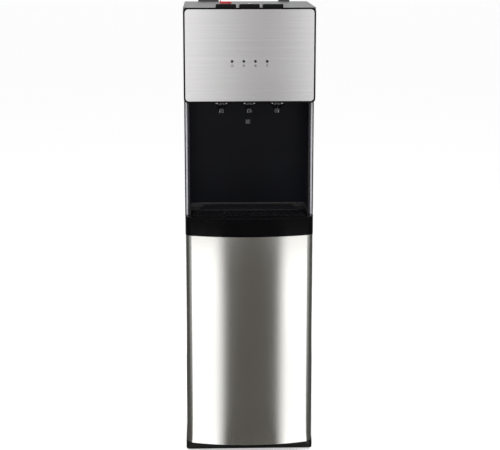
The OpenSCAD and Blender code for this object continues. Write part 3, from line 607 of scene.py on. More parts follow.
@dataclass(frozen=True)
class BowOutline:
    """The outline that the door, its caps and the band over it share."""

    half: float = 0.155
    corner: float = 0.025
    bow: float = 0.456
    nose: float = 0.012

    def walk(self, back: float, low: float, high: float) -> Sweep:
        """Sweeps a wall round the outline, from the left back edge to the right one.

        Args:
            back: The depth of its two back edges, in metres behind the panel's face.
            low: The wall's lower z.
            high: The wall's upper z.

        Returns:
            The sweep.
        """
        bow_y = self.bow - self.nose
        reach = self.half - self.corner
        corner_y = bow_y - math.sqrt((self.bow - self.corner) ** 2 - reach**2)
        turn = math.degrees(math.atan2(reach, bow_y - corner_y))
        sweep = Sweep(-self.half, PANEL_Y + back, low, high).go(-self.half, PANEL_Y + corner_y)
        sweep.turn((-reach, PANEL_Y + corner_y), 90.0 - turn, 24)
        sweep.turn((0.0, PANEL_Y + bow_y), 2.0 * turn, 96)
        sweep.turn((reach, PANEL_Y + corner_y), 90.0 - turn, 24)
        return sweep.go(self.half, PANEL_Y + back)


def thicken(shape: Shape, thickness: float) -> Shape:
    """Gives a sheet its thickness in metres, to the side that its faces look away from."""
    bmesh.ops.solidify(shape, geom=list(shape.faces), thickness=thickness)
    return shape


def soften(shape: Shape, radius: float, segments: int, pick: Callable[[Edge], bool]) -> Shape:
    """Rounds a shape's sharp edges.

    Args:
        shape: The shape.
        radius: The radius in metres.
        segments: How many faces each rounding has.
        pick: Tells which of the sharp edges to round.

    Returns:
        The same shape.
    """
    limit = math.radians(40.0)
    sharp = [e for e in shape.edges if len(e.link_faces) == 2 and e.calc_face_angle(0.0) > limit]
    bmesh.ops.bevel(
        shape,
        geom=[edge for edge in sharp if pick(edge)],
        offset=radius,
        segments=segments,
        profile=0.5,
        affect="EDGES",
        material=-1,
        clamp_overlap=True,
    )
    return shape


def block(low: Point, high: Point) -> Shape:
    """Makes a box from its lowest to its highest corner.

    Args:
        low: The lowest corner.
        high: The highest corner.

    Returns:
        The box.
    """
    shape = bmesh.new()
    size = Matrix.Diagonal((*(Vector(high) - Vector(low)), 1.0))
    middle = Matrix.Translation((Vector(high) + Vector(low)) / 2.0)
    bmesh.ops.create_cube(shape, size=1.0, matrix=middle @ size)
    return shape


def merge(*shapes: Shape) -> Shape:
    """Puts several shapes into one.

    Args:
        *shapes: The shapes. All but the first are freed.

    Returns:
        The first shape with the rest added.
    """
    whole = shapes[0]
    for shape in shapes[1:]:
        carrier = bpy.data.meshes.new("carrier")
        shape.to_mesh(carrier)
        whole.from_mesh(carrier)
        shape.free()
        bpy.data.meshes.remove(carrier)
    return whole


def repeat(shape: Shape, places: Iterable[Matrix]) -> Shape:
    """Puts a copy of a shape at each place.

    Args:
        shape: The shape. It is freed.
        places: Where the copies go.

    Returns:
        The copies in one shape.
    """
    pattern = bpy.data.meshes.new("pattern")
    shape.to_mesh(pattern)
    shape.free()
    whole = bmesh.new()
    for place in places:
        kept = len(whole.verts)
        whole.from_mesh(pattern)
        whole.verts.ensure_lookup_table()
        bmesh.ops.transform(whole, matrix=place, verts=whole.verts[kept:])
    bpy.data.meshes.remove(pattern)
    return whole


def turned(profile: Sequence[tuple[float, float]], steps: int) -> Shape:
    """Turns an outline about the z axis, as on a lathe.

    Args:
        profile: The outline's radii and heights in millimetres.
        steps: How many faces go round.

    Returns:
        The turned shape.
    """
    shape = bmesh.new()
    outline = chain(shape, [(radius * MM, 0.0, height * MM) for radius, height in profile])
    bmesh.ops.spin(shape, geom=outline, axis=(0.0, 0.0, 1.0), angle=math.tau, steps=steps, use_merge=True)
    bmesh.ops.remove_doubles(shape, verts=shape.verts, dist=1e-7)
    return outward(shape)


def bar(length: float, width: float, height: float, x: float = 0.0, degrees: float = 0.0) -> Shape:
    """Makes a thin bar that lies on the xy plane, in millimetres.

    Args:
        length: Its length along y.
        width: Its width.
        height: Its height.
        x: How far it stands to the side.
        degrees: How far it is turned.

    Returns:
        The bar.
    """
    half_x, half_y = width / 2.0 * MM, length / 2.0 * MM
    shape = block((x * MM - half_x, -half_y, 0.0), (x * MM + half_x, half_y, height * MM))
    bmesh.ops.rotate(shape, matrix=Matrix.Rotation(math.radians(degrees), 3, "Z"), verts=shape.verts)
    return shape


def droplet(radius: float, height: float, line: float = 0.0) -> Shape:
    """Makes a flat drop on the xy plane, whole or as an outline, in millimetres.

    Args:
        radius: The radius of its round end.
        height: How thick it is.
        line: The outline's width, or 0 for a whole drop.

    Returns:
        The drop.
    """
    tip, pinch = 1.15, 0.35
    shape = bmesh.new()
    bmesh.ops.create_circle(shape, cap_ends=True, segments=28, radius=radius * MM)
    for vert in shape.verts:
        rise = max(0.0, vert.co.y / (radius * MM))
        vert.co.y += tip * radius * MM * rise**3
        vert.co.x *= 1.0 - pinch * rise**2
    if line:
        inset = {"thickness": line * MM, "use_boundary": True, "use_even_offset": True}
        ring = set(bmesh.ops.inset_region(shape, faces=shape.faces[:], **inset)["faces"])
        bmesh.ops.delete(shape, geom=[f for f in shape.faces if f not in ring], context="FACES")
    grown = bmesh.ops.extrude_face_region(shape, geom=shape.faces[:])["geom"]
    bmesh.ops.translate(shape, vec=(0.0, 0.0, height * MM), verts=only(grown, Vert))
    return outward(shape)


# Workshop


def show(name: str, data: object) -> bpy.types.Object:
    """Puts a mesh, a light or a camera into the scene.

    Args:
        name: The object's name.
        data: What the object shows.

    Returns:
        The object.
    """
    thing = bpy.data.objects.new(name, data)
    bpy.context.scene.collection.objects.link(thing)
    return thing


def show_mesh(name: str, shape: Shape, material: Material) -> bpy.types.Object:
    """Turns a shape into an object of the scene.

    Args:
        name: The object's name.
        shape: The shape. It is freed.
        material: The object's material.

    Returns:
        The object.
    """
    mesh = bpy.data.meshes.new(name)
    shape.to_mesh(mesh)
    shape.free()
    mesh.materials.append(material)
    return show(name, mesh)


class Workshop:
    """Hands out materials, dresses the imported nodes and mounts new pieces."""

    def __init__(self, frame: dict[str, object]) -> None:
        """Keeps the frame.
        """
        self.nodes: dict[str, bpy.types.Object] = frame["nodes"]
        self.slots = {part["node"]: part["material_slot"] for part in frame["record"]["subparts"]}
        self._made: dict[Palette, Material] = {}

    def material(self, finish: Palette) -> Material:
        """Gives a finish's material, made once.

        Args:
            finish: The finish.

        Returns:
            The material.
        """
        if finish not in self._made:
            self._made[finish] = finish.value.make()
            self._made[finish].name = finish.name.lower()
        return self._made[finish]

    def dress(self, finish: Palette, *names: str) -> None:
        """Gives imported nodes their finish.

        Args:
            finish: The finish.
            *names: The nodes.
        """
        for name in names:
            mesh = self.nodes[name].data
            mesh.materials.clear()
            mesh.materials.append(self.material(finish))

    def mount(
        self,
        name: str,
        shape: Shape,
        finish: Palette,
        body: str = "cabinet",
        replaces: str | None = None,
        slot: str | None = None,
        smooth: float | None = 35.0,
    ) -> bpy.types.Object:
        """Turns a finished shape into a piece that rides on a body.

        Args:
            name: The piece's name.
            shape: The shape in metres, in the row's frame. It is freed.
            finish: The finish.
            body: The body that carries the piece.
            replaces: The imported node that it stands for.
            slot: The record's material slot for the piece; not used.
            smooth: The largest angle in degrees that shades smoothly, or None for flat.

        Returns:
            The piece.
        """
        if smooth is not None:
            limit = math.radians(smooth)
            for face in shape.faces:
                face.smooth = True
            for edge in shape.edges:
                edge.smooth = len(edge.link_faces) == 2 and edge.calc_face_angle(0.0) <= limit
        piece = show_mesh(name, shape, self.material(finish))
        if smooth is not None:
            piece.modifiers.new("even_shading", "WEIGHTED_NORMAL").keep_sharp = True
        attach(piece, body)
        if replaces:
            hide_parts(replaces)
        LOG.info("%s rides on %s", name, body)
        return piece


# Stage


@dataclass
class Studio:
    """The camera, the lights, the floor and the cards that steel mirrors."""

    distance: float = 3.2
    eye: tuple[float, float] = (-0.1, 1.268)
    yaw: float = 1.804
    pitch: float = 12.06
    focal_pixels: float = 1364.0
    floor_half: float = 30.0
    room_light: float = 0.5
    floor_lift: float = 0.5
    fan_bright: Colour = (1.45, 1.45, 1.43)
    fan_dark: Colour = (0.082, 0.076, 0.064)
    fan_middle: tuple[float, float] = (0.061, 0.002)
    fan_half: tuple[float, float] = (0.352, 0.072)
    fan_end: float = 2.3
    valley_x: float = 0.1
    valley_slopes: tuple[float, float] = (-2.9, 4.8)
    valley_dark: Colour = (0.278, 0.273, 0.275)
    valley_bright: Colour = (1.26, 1.26, 1.26)
    side_dark: Colour = (0.07, 0.068, 0.06)
    side_bright: Colour = (0.4, 0.4, 0.39)
    side_fore: float = -0.74
    side_back: float = 0.6
    side_top: float = 0.68

    def build(self) -> None:
        """Sets up the whole stage."""
        bpy.context.scene.view_settings.view_transform = "Standard"
        self.set_camera()
        self.set_world()
        self.lay_floor()
        self.hang_lamps()
        self.set_cards()

    def set_camera(self) -> None:
        """Puts the camera a little to the viewer's left, looking down at the cooler."""
        camera = bpy.data.cameras.new("camera")
        camera.sensor_width = 36.0
        camera.lens = self.focal_pixels / FRAME_WIDTH * camera.sensor_width
        camera.clip_end = 100.0
        holder = show("camera", camera)
        holder.location = (self.eye[0], PANEL_Y - self.distance, self.eye[1])
        holder.rotation_euler = (math.radians(90.0 - self.pitch), 0.0, -math.radians(self.yaw))
        bpy.context.scene.camera = holder

    def set_world(self) -> None:
        """Fills the room with plain light, and with white behind the object."""
        world = bpy.data.worlds.new("room")
        world.use_nodes = True
        bpy.context.scene.world = world
        nodes = Nodes(world.node_tree)
        plain = nodes.tree.nodes["Background"]
        nodes.feed(plain.inputs["Color"], WHITE)
        nodes.feed(plain.inputs["Strength"], self.room_light)
        white = nodes.node("Background", {"Color": WHITE, "Strength": 1.0})
        mix = nodes.node("MixShader", {0: nodes.direct_view(), 1: plain.outputs[0], 2: white.outputs[0]})
        nodes.feed(nodes.tree.nodes["World Output"].inputs[0], mix.outputs[0])

    def lay_floor(self) -> None:
        """Lays the pale floor, which reads as white and keeps the cooler's shadow."""
        shape = bmesh.new()
        bmesh.ops.create_grid(shape, x_segments=2, y_segments=2, size=self.floor_half)
        shader = Shader("pale_floor")
        shader.set(Base_Color=(0.9, 0.9, 0.9, 1.0), Roughness=0.8, Specular_IOR_Level=0.1)
        lift = shader.spread(shader.direct_view(), 0.0, self.floor_lift, 0.0, 1.0)
        shader.set(Emission_Color=WHITE, Emission_Strength=lift)
        show_mesh("floor", shape, shader.material)

    def hang_lamps(self) -> None:
        """Hangs a tall strip lamp on each side, a large soft one above and one at the brow."""
        chest, heart = (0.0, -0.1, 0.8), (0.0, 0.0, 0.8)
        self.lamp("left_strip", (-1.6, -0.85, 1.25), chest, (0.36, 1.5), 15.0)
        self.lamp("right_strip", (1.62, -0.8, 1.25), chest, (0.36, 1.5), 15.0)
        self.lamp("top_softbox", (0.0, -0.6, 3.2), heart, (2.4, 2.0), 20.0)
        self.lamp("brow_strip", (0.0, -1.7, 2.4), heart, (1.4, 0.25), 7.0)

    def lamp(self, name: str, place: Point, target: Point, size: tuple[float, float], watts: float) -> None:
        """Hangs one rectangular lamp.

        Args:
            name: The lamp's name.
            place: Where it hangs.
            target: What it faces.
            size: Its width and height.
            watts: Its power.
        """
        light = bpy.data.lights.new(name, "AREA")
        light.shape = "RECTANGLE"
        light.size, light.size_y = size
        light.energy = watts
        lamp = show(name, light)
        lamp.location = place
        lamp.rotation_euler = (Vector(target) - Vector(place)).to_track_quat("-Z", "Y").to_euler()

    def set_cards(self) -> None:
        """Sets the cards that only glossy rays meet, as a photographer does for steel."""
        far, near_y, far_y, top = 4.0, -0.2, -3.5, 0.62
        fan = self.fan_shader()
        floor = [(-far, near_y, 0.002), (-far, far_y, 0.002), (far, far_y, 0.002), (far, near_y, 0.002)]
        self.card("floor_card", floor, fan)
        self.card("low_card", self.upright(-far, far, far_y, (0.0, top)), fan)
        self.card("panel_card", self.upright(-0.4, 0.55, -1.15, (0.5, 1.5)), self.valley_shader())
        side = self.side_shader()
        fore, back, low, high = self.side_fore, self.side_back, 0.004, self.side_top
        for way, name in ((-1.0, "left"), (1.0, "right")):
            near, out = way * 0.158, way * 0.8
            wall = [(out, fore, 0.0), (out, back, 0.0), (out, back, high), (out, fore, high)]
            self.card(f"{name}_card", wall, side)
            foot = [(near, -0.15, low), (out, fore, low), (out, back, low), (near, back, low)]
            self.card(f"{name}_foot_card", foot, side)

    def upright(self, left: float, right: float, y: float, heights: tuple[float, float]) -> list[Point]:
        """Gives the corners of a card that stands before the cooler between two heights."""
        low, high = heights
        return [(left, y, low), (left, y, high), (right, y, high), (right, y, low)]

    def glow(self, name: str) -> Shader:
        """Starts a card's material, which shines and scatters nothing."""
        return Shader(name).set(Base_Color=(0.0, 0.0, 0.0, 1.0), Specular_IOR_Level=0.0, Emission_Strength=1.0)

    def fan_shader(self) -> Shader:
        """Makes a card's tone: dark in a fan that opens from the door, bright beside it.

        Returns:
            The card's shader.
        """
        shader = self.glow("fan_card")
        x, y, _ = shader.axes()
        reach = shader.reckon("MULTIPLY_ADD", y, -1.0, PANEL_Y)
        middle = shader.reckon("MULTIPLY_ADD", reach, *self.fan_middle)
        fan = shader.reckon("MULTIPLY_ADD", reach, *self.fan_half)
        radius = shader.reckon("SQRT", shader.reckon("MULTIPLY_ADD", x, x, shader.reckon("MULTIPLY", reach, reach)))
        band = shader.reckon("MULTIPLY", shader.reckon("SUBTRACT", radius, self.fan_end), 10.0)
        aside = shader.reckon("ABSOLUTE", shader.reckon("SUBTRACT", x, middle))
        aside = shader.reckon("DIVIDE", aside, shader.reckon("MAXIMUM", fan, band))
        outside = shader.spread(aside, 0.0, 1.0, 0.82, 1.2)
        far = shader.spread(radius, 0.0, 0.95, 1.2, 2.1)
        return shader.set(
            Emission_Color=shader.blend(outside, self.fan_dark, self.fan_bright),
            Emission_Strength=shader.reckon("MULTIPLY_ADD", outside, far, 1.0),
        )

    def valley_shader(self) -> Shader:
        """Makes a card's tone: a soft grey valley a little to the right of the panel's middle.

        Returns:
            The card's shader.
        """
        shader = self.glow("valley_card")
        aside = shader.reckon("SUBTRACT", shader.axes()[0], self.valley_x)
        slopes = [shader.reckon("MULTIPLY", aside, slope) for slope in self.valley_slopes]
        rise = shader.spread(shader.reckon("MAXIMUM", *slopes), 0.0, 1.0, 0.0, 1.0)
        rise = shader.reckon("POWER", rise, 1.2)
        return shader.set(Emission_Color=shader.blend(rise, self.valley_dark, self.valley_bright))

    def side_shader(self) -> Shader:
        """Makes a card's tone: dark beside the cooler, lighter towards the front.

        Returns:
            The card's shader.
        """
        shader = self.glow("side_card")
        fore = shader.spread(shader.axes()[1], 1.0, 0.0, self.side_fore, -0.2)
        return shader.set(Emission_Color=shader.blend(fore, self.side_dark, self.side_bright))

    def card(self, name: str, corners: Sequence[Point], shader: Shader) -> None:
        """Sets up a card that only glossy rays meet.

        Args:
            name: The card's name.
            corners: Its four corners.
            shader: Its material.
        """
        shape = bmesh.new()
        shape.faces.new([shape.verts.new(corner) for corner in corners])
        card = show_mesh(name, shape, shader.material)
        for ray in ("camera", "diffuse", "transmission", "volume_scatter", "shadow"):
            setattr(card, f"visible_{ray}", False)


# Sub-assemblies


@dataclass
class SubAssembly:
    """A part of the cooler that the workshop dresses."""

    shop: Workshop


@dataclass
class Carcass(SubAssembly):
    """The base, the sheets, their screws and the feet."""

    screw_x: float = 0.148
    screw_zs: tuple[float, ...] = (0.064, 0.294, 0.5175, 0.6175, 0.827, 0.996)
    back: float = 303.0
    head: float = 2.05
    pit: float = 1.3

    def build(self) -> None:
        """Dresses the carcass."""
        self.shop.dress(Palette.SATIN_BLACK, "base_tray")
        self.shop.dress(Palette.SPACER_BLACK, "wall_spacers")
        self.shop.dress(Palette.SIDE_PAINT, "side_left", "side_right")
        self.shop.dress(Palette.ZINC_SHEET, "back_lower", "back_upper", "mid_shelf", "condenser_brackets")
        self.shop.dress(Palette.BLACK_RUBBER, "rear_feet", "front_foot_left", "front_foot_right")
        self.shop.dress(Palette.DECK_BLACK, "top_cover")
        places = [Facing.BACK.place(side * self.screw_x, self.back, z) for side in (-1, 1) for z in self.screw_zs]
        self.shop.mount("back_screws", repeat(self.screw(), places), Palette.SCREW_STEEL, slot="spring_steel")

    def screw(self) -> Shape:
        """Makes a pan-head screw with a cross recess, head up.

        Returns:
            The screw.
        """
        top = self.head * MM
        shank = [(0.0, -6.0), (1.1, -6.0), (1.45, -5.4), (1.45, 0.0)]
        shape = turned([*shank, (3.2, 0.0), (3.3, 0.5), (3.05, 1.2), (2.5, 1.8), (1.9, self.head)], 20)
        arm = bmesh.new()
        spots = ((0.35, 0.35), (1.45, 0.3), (1.45, -0.3), (0.35, -0.35))
        line = chain(arm, [(x * MM, y * MM, top) for x, y in spots])
        cross = {"axis": (0.0, 0.0, 1.0), "angle": -1.5 * math.pi, "steps": 3, "use_duplicate": True}
        bmesh.ops.spin(arm, geom=line, **cross)
        bmesh.ops.remove_doubles(arm, verts=arm.verts, dist=1e-6)
        merge(shape, arm)
        bmesh.ops.triangle_fill(shape, use_beauty=True, edges=rims(shape, top))
        mouth = [e for e in rims(shape, top) if all(v.co.xy.length < 1.6 * MM for v in e.verts)]
        grown = bmesh.ops.extrude_edge_only(shape, edges=mouth)["geom"]
        floor = only(grown, Vert)
        bmesh.ops.scale(shape, vec=(0.55, 0.55, 1.0), verts=floor)
        bmesh.ops.translate(shape, vec=(0.0, 0.0, -self.pit * MM), verts=floor)
        bmesh.ops.edgeloop_fill(shape, edges=[e for e in only(grown, Edge) if e.is_boundary])
        return outward(shape)


@dataclass
class Door(SubAssembly):
    """The curved door, its fittings and its hinges."""

    outline: BowOutline = BowOutline()
    back: float = 0.039
    skin: float = 0.001

    def build(self) -> None:
        """Builds the door's steel face and dresses the rest."""
        low, high = (corner.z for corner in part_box("door_skin"))
        steel = thicken(self.outline.walk(self.back, low, high).joined(), self.skin)
        self.shop.mount("door_face", steel, Palette.DOOR_STEEL, "door", "door_skin")
        self.shop.dress(Palette.GLOSS_BLACK, "door_caps")
        self.shop.dress(Palette.MID_GREY, "door_liner")
        self.shop.dress(Palette.MAGNET_STRIP, "door_magnet")
        self.shop.dress(Palette.ZINC_SHEET, "catch_plate")
        self.shop.dress(Palette.ENAMEL, "hinge_upper", "hinge_lower")


@dataclass
class TrayZone(SubAssembly):
    """The front band, the drip tray and its grille."""

    outline: BowOutline = BowOutline()
    height: float = 0.044
    wall: float = 0.003
    lip: float = 0.0026
    band_back: float = 42.9
    neck: float = 0.1427
    plate: float = 0.149
    plate_front: float = 44.0
    plate_back: float = 150.0
    well_half: tuple[float, float] = (0.1385, 0.0335)
    well_corner: float = 0.0185
    well_middle: float = 53.0
    well_depth: float = 0.025
    well_edge: float = 0.0009
    ramp_half: float = 0.126
    ramp_depths: tuple[float, float] = (92.0, 147.0)
    ramp_rise: float = 0.007
    ramp_close: float = 0.022
    ramp_nose: Point = (0.0, 0.002, -0.005)

    def build(self) -> None:
        """Builds the band and dresses the tray."""
        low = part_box("tray_housing")[0].z
        top = low + self.height
        whole = merge(self.band(low, top), self.box(low + 0.001, top))
        self.shop.mount("tray_band", whole, Palette.GLOSS_BLACK, replaces="tray_housing", smooth=30.0)
        # The ramp's lighter black is painted light that makes up for the alcove's shade.
        self.shop.mount("tray_ramp", self.ramp(top), Palette.RAMP_BLACK_PAINTED_LIGHT, replaces="tray_housing")
        self.shop.dress(Palette.GLOSS_BLACK, "drip_tray")
        self.shop.dress(Palette.GRILLE_BLACK, "drip_grille")

    def in_bow(self, edge: Edge) -> bool:
        """Tells whether an edge belongs to the bowed front."""
        return any(vert.co.y < front(self.band_back) - 1e-4 for vert in edge.verts)

    def band(self, low: float, top: float) -> Shape:
        """Makes the bowed front, its rolled lip, the plate behind it and the tray's well.

        Args:
            low: The band's lower z.
            top: The plate's upper z.

        Returns:
            The band, hollow below.
        """
        under = top - self.wall
        sweep = self.outline.walk(self.band_back * MM, under, top)
        right = [(self.neck, self.band_back), (self.neck, self.plate_front)]
        right += [(self.plate, self.plate_front), (self.plate, self.plate_back)]
        left = [(-x, depth) for x, depth in reversed(right)]
        for x, depth in [*right, *left, (-self.outline.half, self.band_back)]:
            sweep.go(x, front(depth))
        shape = sweep.joined()
        skirt = [edge for edge in rims(shape, under) if self.in_bow(edge)]
        grown = bmesh.ops.extrude_edge_only(shape, edges=skirt)["geom"]
        bmesh.ops.translate(shape, vec=(0.0, 0.0, low - under), verts=only(grown, Vert))
        bmesh.ops.edgeloop_fill(shape, edges=rims(shape, top))
        shape.normal_update()
        soften(shape, self.lip, 5, lambda edge: self.in_bow(edge) and level(edge, top))
        lid = max(shape.faces, key=lambda face: len(face.verts))
        bmesh.ops.inset_region(shape, faces=[lid], thickness=0.0004, use_even_offset=True)
        bmesh.ops.delete(shape, geom=[lid], context="FACES_ONLY")
        floor = top - self.well_depth
        merge(shape, self.well(floor, top))
        bmesh.ops.triangle_fill(shape, use_beauty=True, edges=rims(shape, top))
        bmesh.ops.edgeloop_fill(shape, edges=rims(shape, floor))
        soften(outward(shape), self.well_edge, 3, lambda edge: level(edge, top))
        return thicken(shape, self.wall * 0.7)

    def well(self, low: float, high: float) -> Shape:
        """Makes the wall round the tray's well, a rectangle with round corners.

        Args:
            low: The wall's lower z.
            high: The wall's upper z.

        Returns:
            The wall.
        """
        (half_x, half_y), middle = self.well_half, front(self.well_middle)
        x, y = half_x - self.well_corner, half_y - self.well_corner
        sweep = Sweep(-x, middle - half_y, low, high)
        for side in ((x, -half_y), (half_x, y), (-x, half_y), (-half_x, -y)):
            sweep.go(side[0], middle + side[1])
            corner = (math.copysign(x, sweep.spot.x), middle + math.copysign(y, sweep.spot.y - middle))
            sweep.turn(corner, 90.0, 10)
        return sweep.joined()

    def box(self, low: float, top: float) -> Shape:
        """Makes the walls under the plate.

        Args:
            low: Their lower z.
            top: The plate's upper z.

        Returns:
            The walls.
        """
        sweep = Sweep(-self.neck, front(self.band_back), low, top - self.wall)
        for side, depth in ((-1, self.plate_back), (1, self.plate_back), (1, self.band_back)):
            sweep.go(side * self.neck, front(depth))
        return thicken(outward(sweep.joined()), self.wall)

    def ramp(self, top: float) -> Shape:
        """Makes the raised ramp behind the tray, with sides that close in.

        Args:
            top: The plate's upper z.

        Returns:
            The ramp.
        """
        near_y, far_y = (front(depth) for depth in self.ramp_depths)
        shape = block((-self.ramp_half, near_y, top - 0.001), (self.ramp_half, far_y, top + self.ramp_rise))
        for vert in shape.verts:
            if vert.co.y > (near_y + far_y) / 2.0:
                close = (-math.copysign(self.ramp_close, vert.co.x), 0.0, 0.0)
                bmesh.ops.translate(shape, vec=close, verts=[vert])
            elif vert.co.z > top:
                bmesh.ops.translate(shape, vec=self.ramp_nose, verts=[vert])
        return soften(shape, 0.0016, 4, lambda edge: max(v.co.z for v in edge.verts) > top)


@dataclass
class FrontPanel(SubAssembly):
    """The upper panel with its steel face, indicator lights and their marks."""

    light_xs: tuple[float, ...] = (-0.0411, -0.0137, 0.0137, 0.0411)
    light_z: float = 0.9755
    mark_drop: float = 0.0103
    film: float = 0.06

    def build(self) -> None:
        """Dresses the front panel and adds the lights' rims and marks."""
        self.shop.dress(Palette.GLOSS_BLACK, "panel_frame")
        self.shop.dress(Palette.PANEL_STEEL, "panel_skin")
        self.shop.dress(Palette.SMOKED_LENS, "indicator_lenses")
        self.shop.dress(Palette.CIRCUIT_BOARD, "indicator_board")
        outline = [(2.52, 0.0), (3.3, 0.0), (3.3, 0.2), (3.0, 0.5), (2.7, 0.5), (2.52, 0.35), (2.52, 0.0)]
        ring = repeat(turned(outline, 32), [Facing.FRONT.place(x, 0.0, self.light_z) for x in self.light_xs])
        self.shop.mount("light_rims", ring, Palette.RIM_BLACK, slot="gloss_black")
        self.shop.mount("light_marks", self.marks(), Palette.MARK_GREY, slot="grey_plastic", smooth=None)

    def marks(self) -> Shape:
        """Draws a mark under each light: on, hot, cold and empty.

        Returns:
            The marks.
        """
        film, z = self.film, self.light_z - self.mark_drop
        ring = turned([(2.1, 0.0), (3.0, 0.0), (3.0, film), (2.1, film), (2.1, 0.0)], 32)
        hot = merge(*(bar(5.4, 0.9, film, x) for x in (-2.0, 0.0, 2.0)))
        cold = merge(*(bar(6.2, 0.8, film, 0.0, turn) for turn in (0.0, 60.0, 120.0)))
        marks = zip((ring, hot, cold, droplet(2.2, film, 0.8)), self.light_xs)
        return merge(*(repeat(mark, [Facing.FRONT.place(x, 0.0, z)]) for mark, x in marks))


@dataclass
class Alcove(SubAssembly):
    """The alcove, its sill, the spouts over it and the sensor window."""

    sill_half: float = 0.1458
    sill_height: float = 0.0095
    sill_corner: float = 0.0036
    sill_wall: float = 0.004
    sill_front: float = 46.0
    sill_back: float = 143.0
    bore: float = 4.25

    def build(self) -> None:
        """Dresses the alcove, turns its spouts and adds its sill."""
        self.shop.dress(Palette.ALCOVE_BLACK, "alcove_shell")
        self.shop.dress(Palette.TRIM_GREY, "alcove_trims")
        self.shop.dress(Palette.WINDOW_GREY, "sensor_window")
        for name in ("hot", "room", "cold"):
            spout = self.spout(*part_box(f"spout_{name}"))
            self.shop.mount(f"{name}_spout", spout, Palette.SPOUT_BLACK, replaces=f"spout_{name}", smooth=50.0)
        sill = self.sill(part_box("alcove_shell")[0].z)
        self.shop.mount("alcove_sill", sill, Palette.SILL_BLACK, slot="satin_black")
        low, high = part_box("sensor_window")
        place = Facing.FRONT.at(((low.x + high.x) / 2.0, low.y, (low.z + high.z) / 2.0))
        bars = merge(*(bar(8.6, 2.9, 0.12, side) for side in (-2.3, 2.3)))
        self.shop.mount("window_bars", repeat(bars, [place]), Palette.WINDOW_BAR, slot="window", smooth=None)

    def spout(self, low: Vector, high: Vector) -> Shape:
        """Turns a spout: its nozzle, its funnel, the flange at the ceiling and the stem.

        Args:
            low: Its box's lowest corner.
            high: Its box's highest corner.

        Returns:
            The spout.
        """
        start = (self.bore, 5.2)
        nozzle = [start, (4.6, 4.8), (6.6, 4.8), (7.05, 5.05), (7.25, 5.6), (7.25, 13.4)]
        funnel = [(7.6, 14.6), (8.7, 16.0), (10.6, 17.8), (13.0, 20.0), (15.1, 22.1), (16.9, 23.9)]
        flange = [(18.6, 25.3), (19.6, 26.4), (20.0, 27.5), (20.0, 38.0)]
        stem = [(6.0, 38.0), (6.0, 53.0), (self.bore, 53.0), start]
        middle = (low + high) / 2.0
        place = Matrix.Translation((middle.x, middle.y, low.z))
        return repeat(turned([*nozzle, *funnel, *flange, *stem], 64), [place])

    def sill(self, low: float) -> Shape:
        """Makes the raised sill along the alcove's sides and back.

        Args:
            low: Its lower z.

        Returns:
            The sill.
        """
        half, corner = self.sill_half, self.sill_corner
        fore, back, top = front(self.sill_front), front(self.sill_back), low + self.sill_height
        sweep = Sweep(half, fore, low, top)
        sweep.go(half, back).turn((half - corner, back), 90.0, 8)
        sweep.go(corner - half, back + corner).turn((corner - half, back), 90.0, 8)
        shape = outward(sweep.go(-half, fore).joined())
        bmesh.ops.reverse_faces(shape, faces=shape.faces)
        return soften(thicken(shape, -self.sill_wall), 0.0017, 4, lambda edge: level(edge, top))


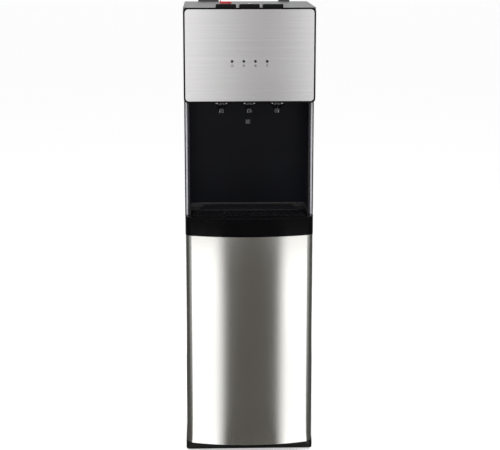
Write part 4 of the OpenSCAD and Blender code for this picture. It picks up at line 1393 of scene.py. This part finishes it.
@dataclass
class Keys(SubAssembly):
    """The press keys, the child lock and what lies under them."""

    key_xs: tuple[float, ...] = (-0.055, 0.0, 0.055)
    mark_depth: float = 22.0
    mark_size: tuple[float, float] = (3.0, 0.15)
    travel: float = 0.004
    wire: float = 0.0006
    turns: float = 4.0
    facets: int = 28

    def build(self) -> None:
        """Dresses the keys, marks each with a drop and winds its spring."""
        marks = {"hot": Palette.RED_PLASTIC, "room": Palette.WHITE_PLASTIC, "cold": Palette.MARK_BLUE}
        for (name, finish), x in zip(marks.items(), self.key_xs):
            place = Facing.UP.place(x, self.mark_depth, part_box(f"key_{name}")[1].z)
            drop = repeat(droplet(*self.mark_size), [place])
            slot = "red_plastic" if name == "hot" else "white_plastic"
            self.shop.mount(f"{name}_mark", drop, finish, f"{name}_key", slot=slot, smooth=None)
        self.shop.dress(Palette.KEY_BLACK, "key_hot", "key_room", "key_cold")
        self.shop.dress(Palette.RED_PLASTIC, "child_lock")
        self.shop.dress(Palette.MID_GREY, "key_bed")
        self.shop.dress(Palette.DARK_GREY, "microswitches")
        for name in marks:
            low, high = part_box(f"spring_{name}")
            coil = self.coil(low, high)
            coil = self.shop.mount(f"{name}_coil", coil, Palette.SPRING_WIRE, replaces=f"spring_{name}", smooth=60.0)
            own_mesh(coil)

    def coil(self, low: Vector, high: Vector) -> Shape:
        """Winds the return spring that sits under a key.

        Args:
            low: Its box's lowest corner.
            high: Its box's highest corner.

        Returns:
            The spring.
        """
        middle = (low + high) / 2.0
        steps = round(self.turns * self.facets)
        rise = (high.z - low.z - 2.0 * self.wire) / steps
        start = Facing.FRONT.at((high.x - self.wire, middle.y, low.z + self.wire))
        shape = bmesh.new()
        bmesh.ops.create_circle(shape, radius=self.wire, segments=10, matrix=start)
        around = {"cent": middle, "axis": (0.0, 0.0, 1.0), "dvec": (0.0, 0.0, rise), "angle": math.tau * self.turns}
        bmesh.ops.spin(shape, geom=shape.verts[:] + shape.edges[:], steps=steps, use_merge=False, **around)
        bmesh.ops.holes_fill(shape, edges=shape.edges[:], sides=10)
        return outward(shape)


@dataclass
class Works(SubAssembly):
    """Bottle fittings, tanks, the cooling circuit and what shows at the back."""

    def build(self) -> None:
        """Dresses the works."""
        self.shop.dress(Palette.MID_GREY, "bottle_floor", "drain_outlet")
        self.shop.dress(Palette.WHITE_PLASTIC, "bottle_probe")
        self.shop.dress(Palette.WHITE_SILICONE, "probe_hose", "water_pipes")
        self.shop.dress(Palette.DARK_GREY, "water_pump", "switch_housing", "drain_cap")
        self.shop.dress(Palette.TANK_STEEL, "cold_tank", "hot_tank")
        self.shop.dress(Palette.JACKET_FOAM, "foam_jacket")
        self.shop.dress(Palette.BARE_COPPER, "evaporator_coil", "refrigerant_pipes", "filter_dryer")
        self.shop.dress(Palette.ENAMEL, "compressor")
        self.shop.dress(Palette.BLACK_RUBBER, "compressor_mounts")
        self.shop.dress(Palette.CONDENSER_PAINT, "condenser")
        self.shop.dress(Palette.ROCKER_RED, "rocker_hot")
        self.shop.dress(Palette.ROCKER_GREEN, "rocker_cold")


def main() -> None:
    """Builds the stage and every sub-assembly in order."""
    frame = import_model()
    Studio().build()
    shop = Workshop(frame)
    for kind in (Carcass, Door, TrayZone, FrontPanel, Alcove, Keys, Works):
        kind(shop).build()
        LOG.info("%s is done", kind.__name__)


if __name__ == "__main__":
    logging.basicConfig(level=logging.INFO)
    main()
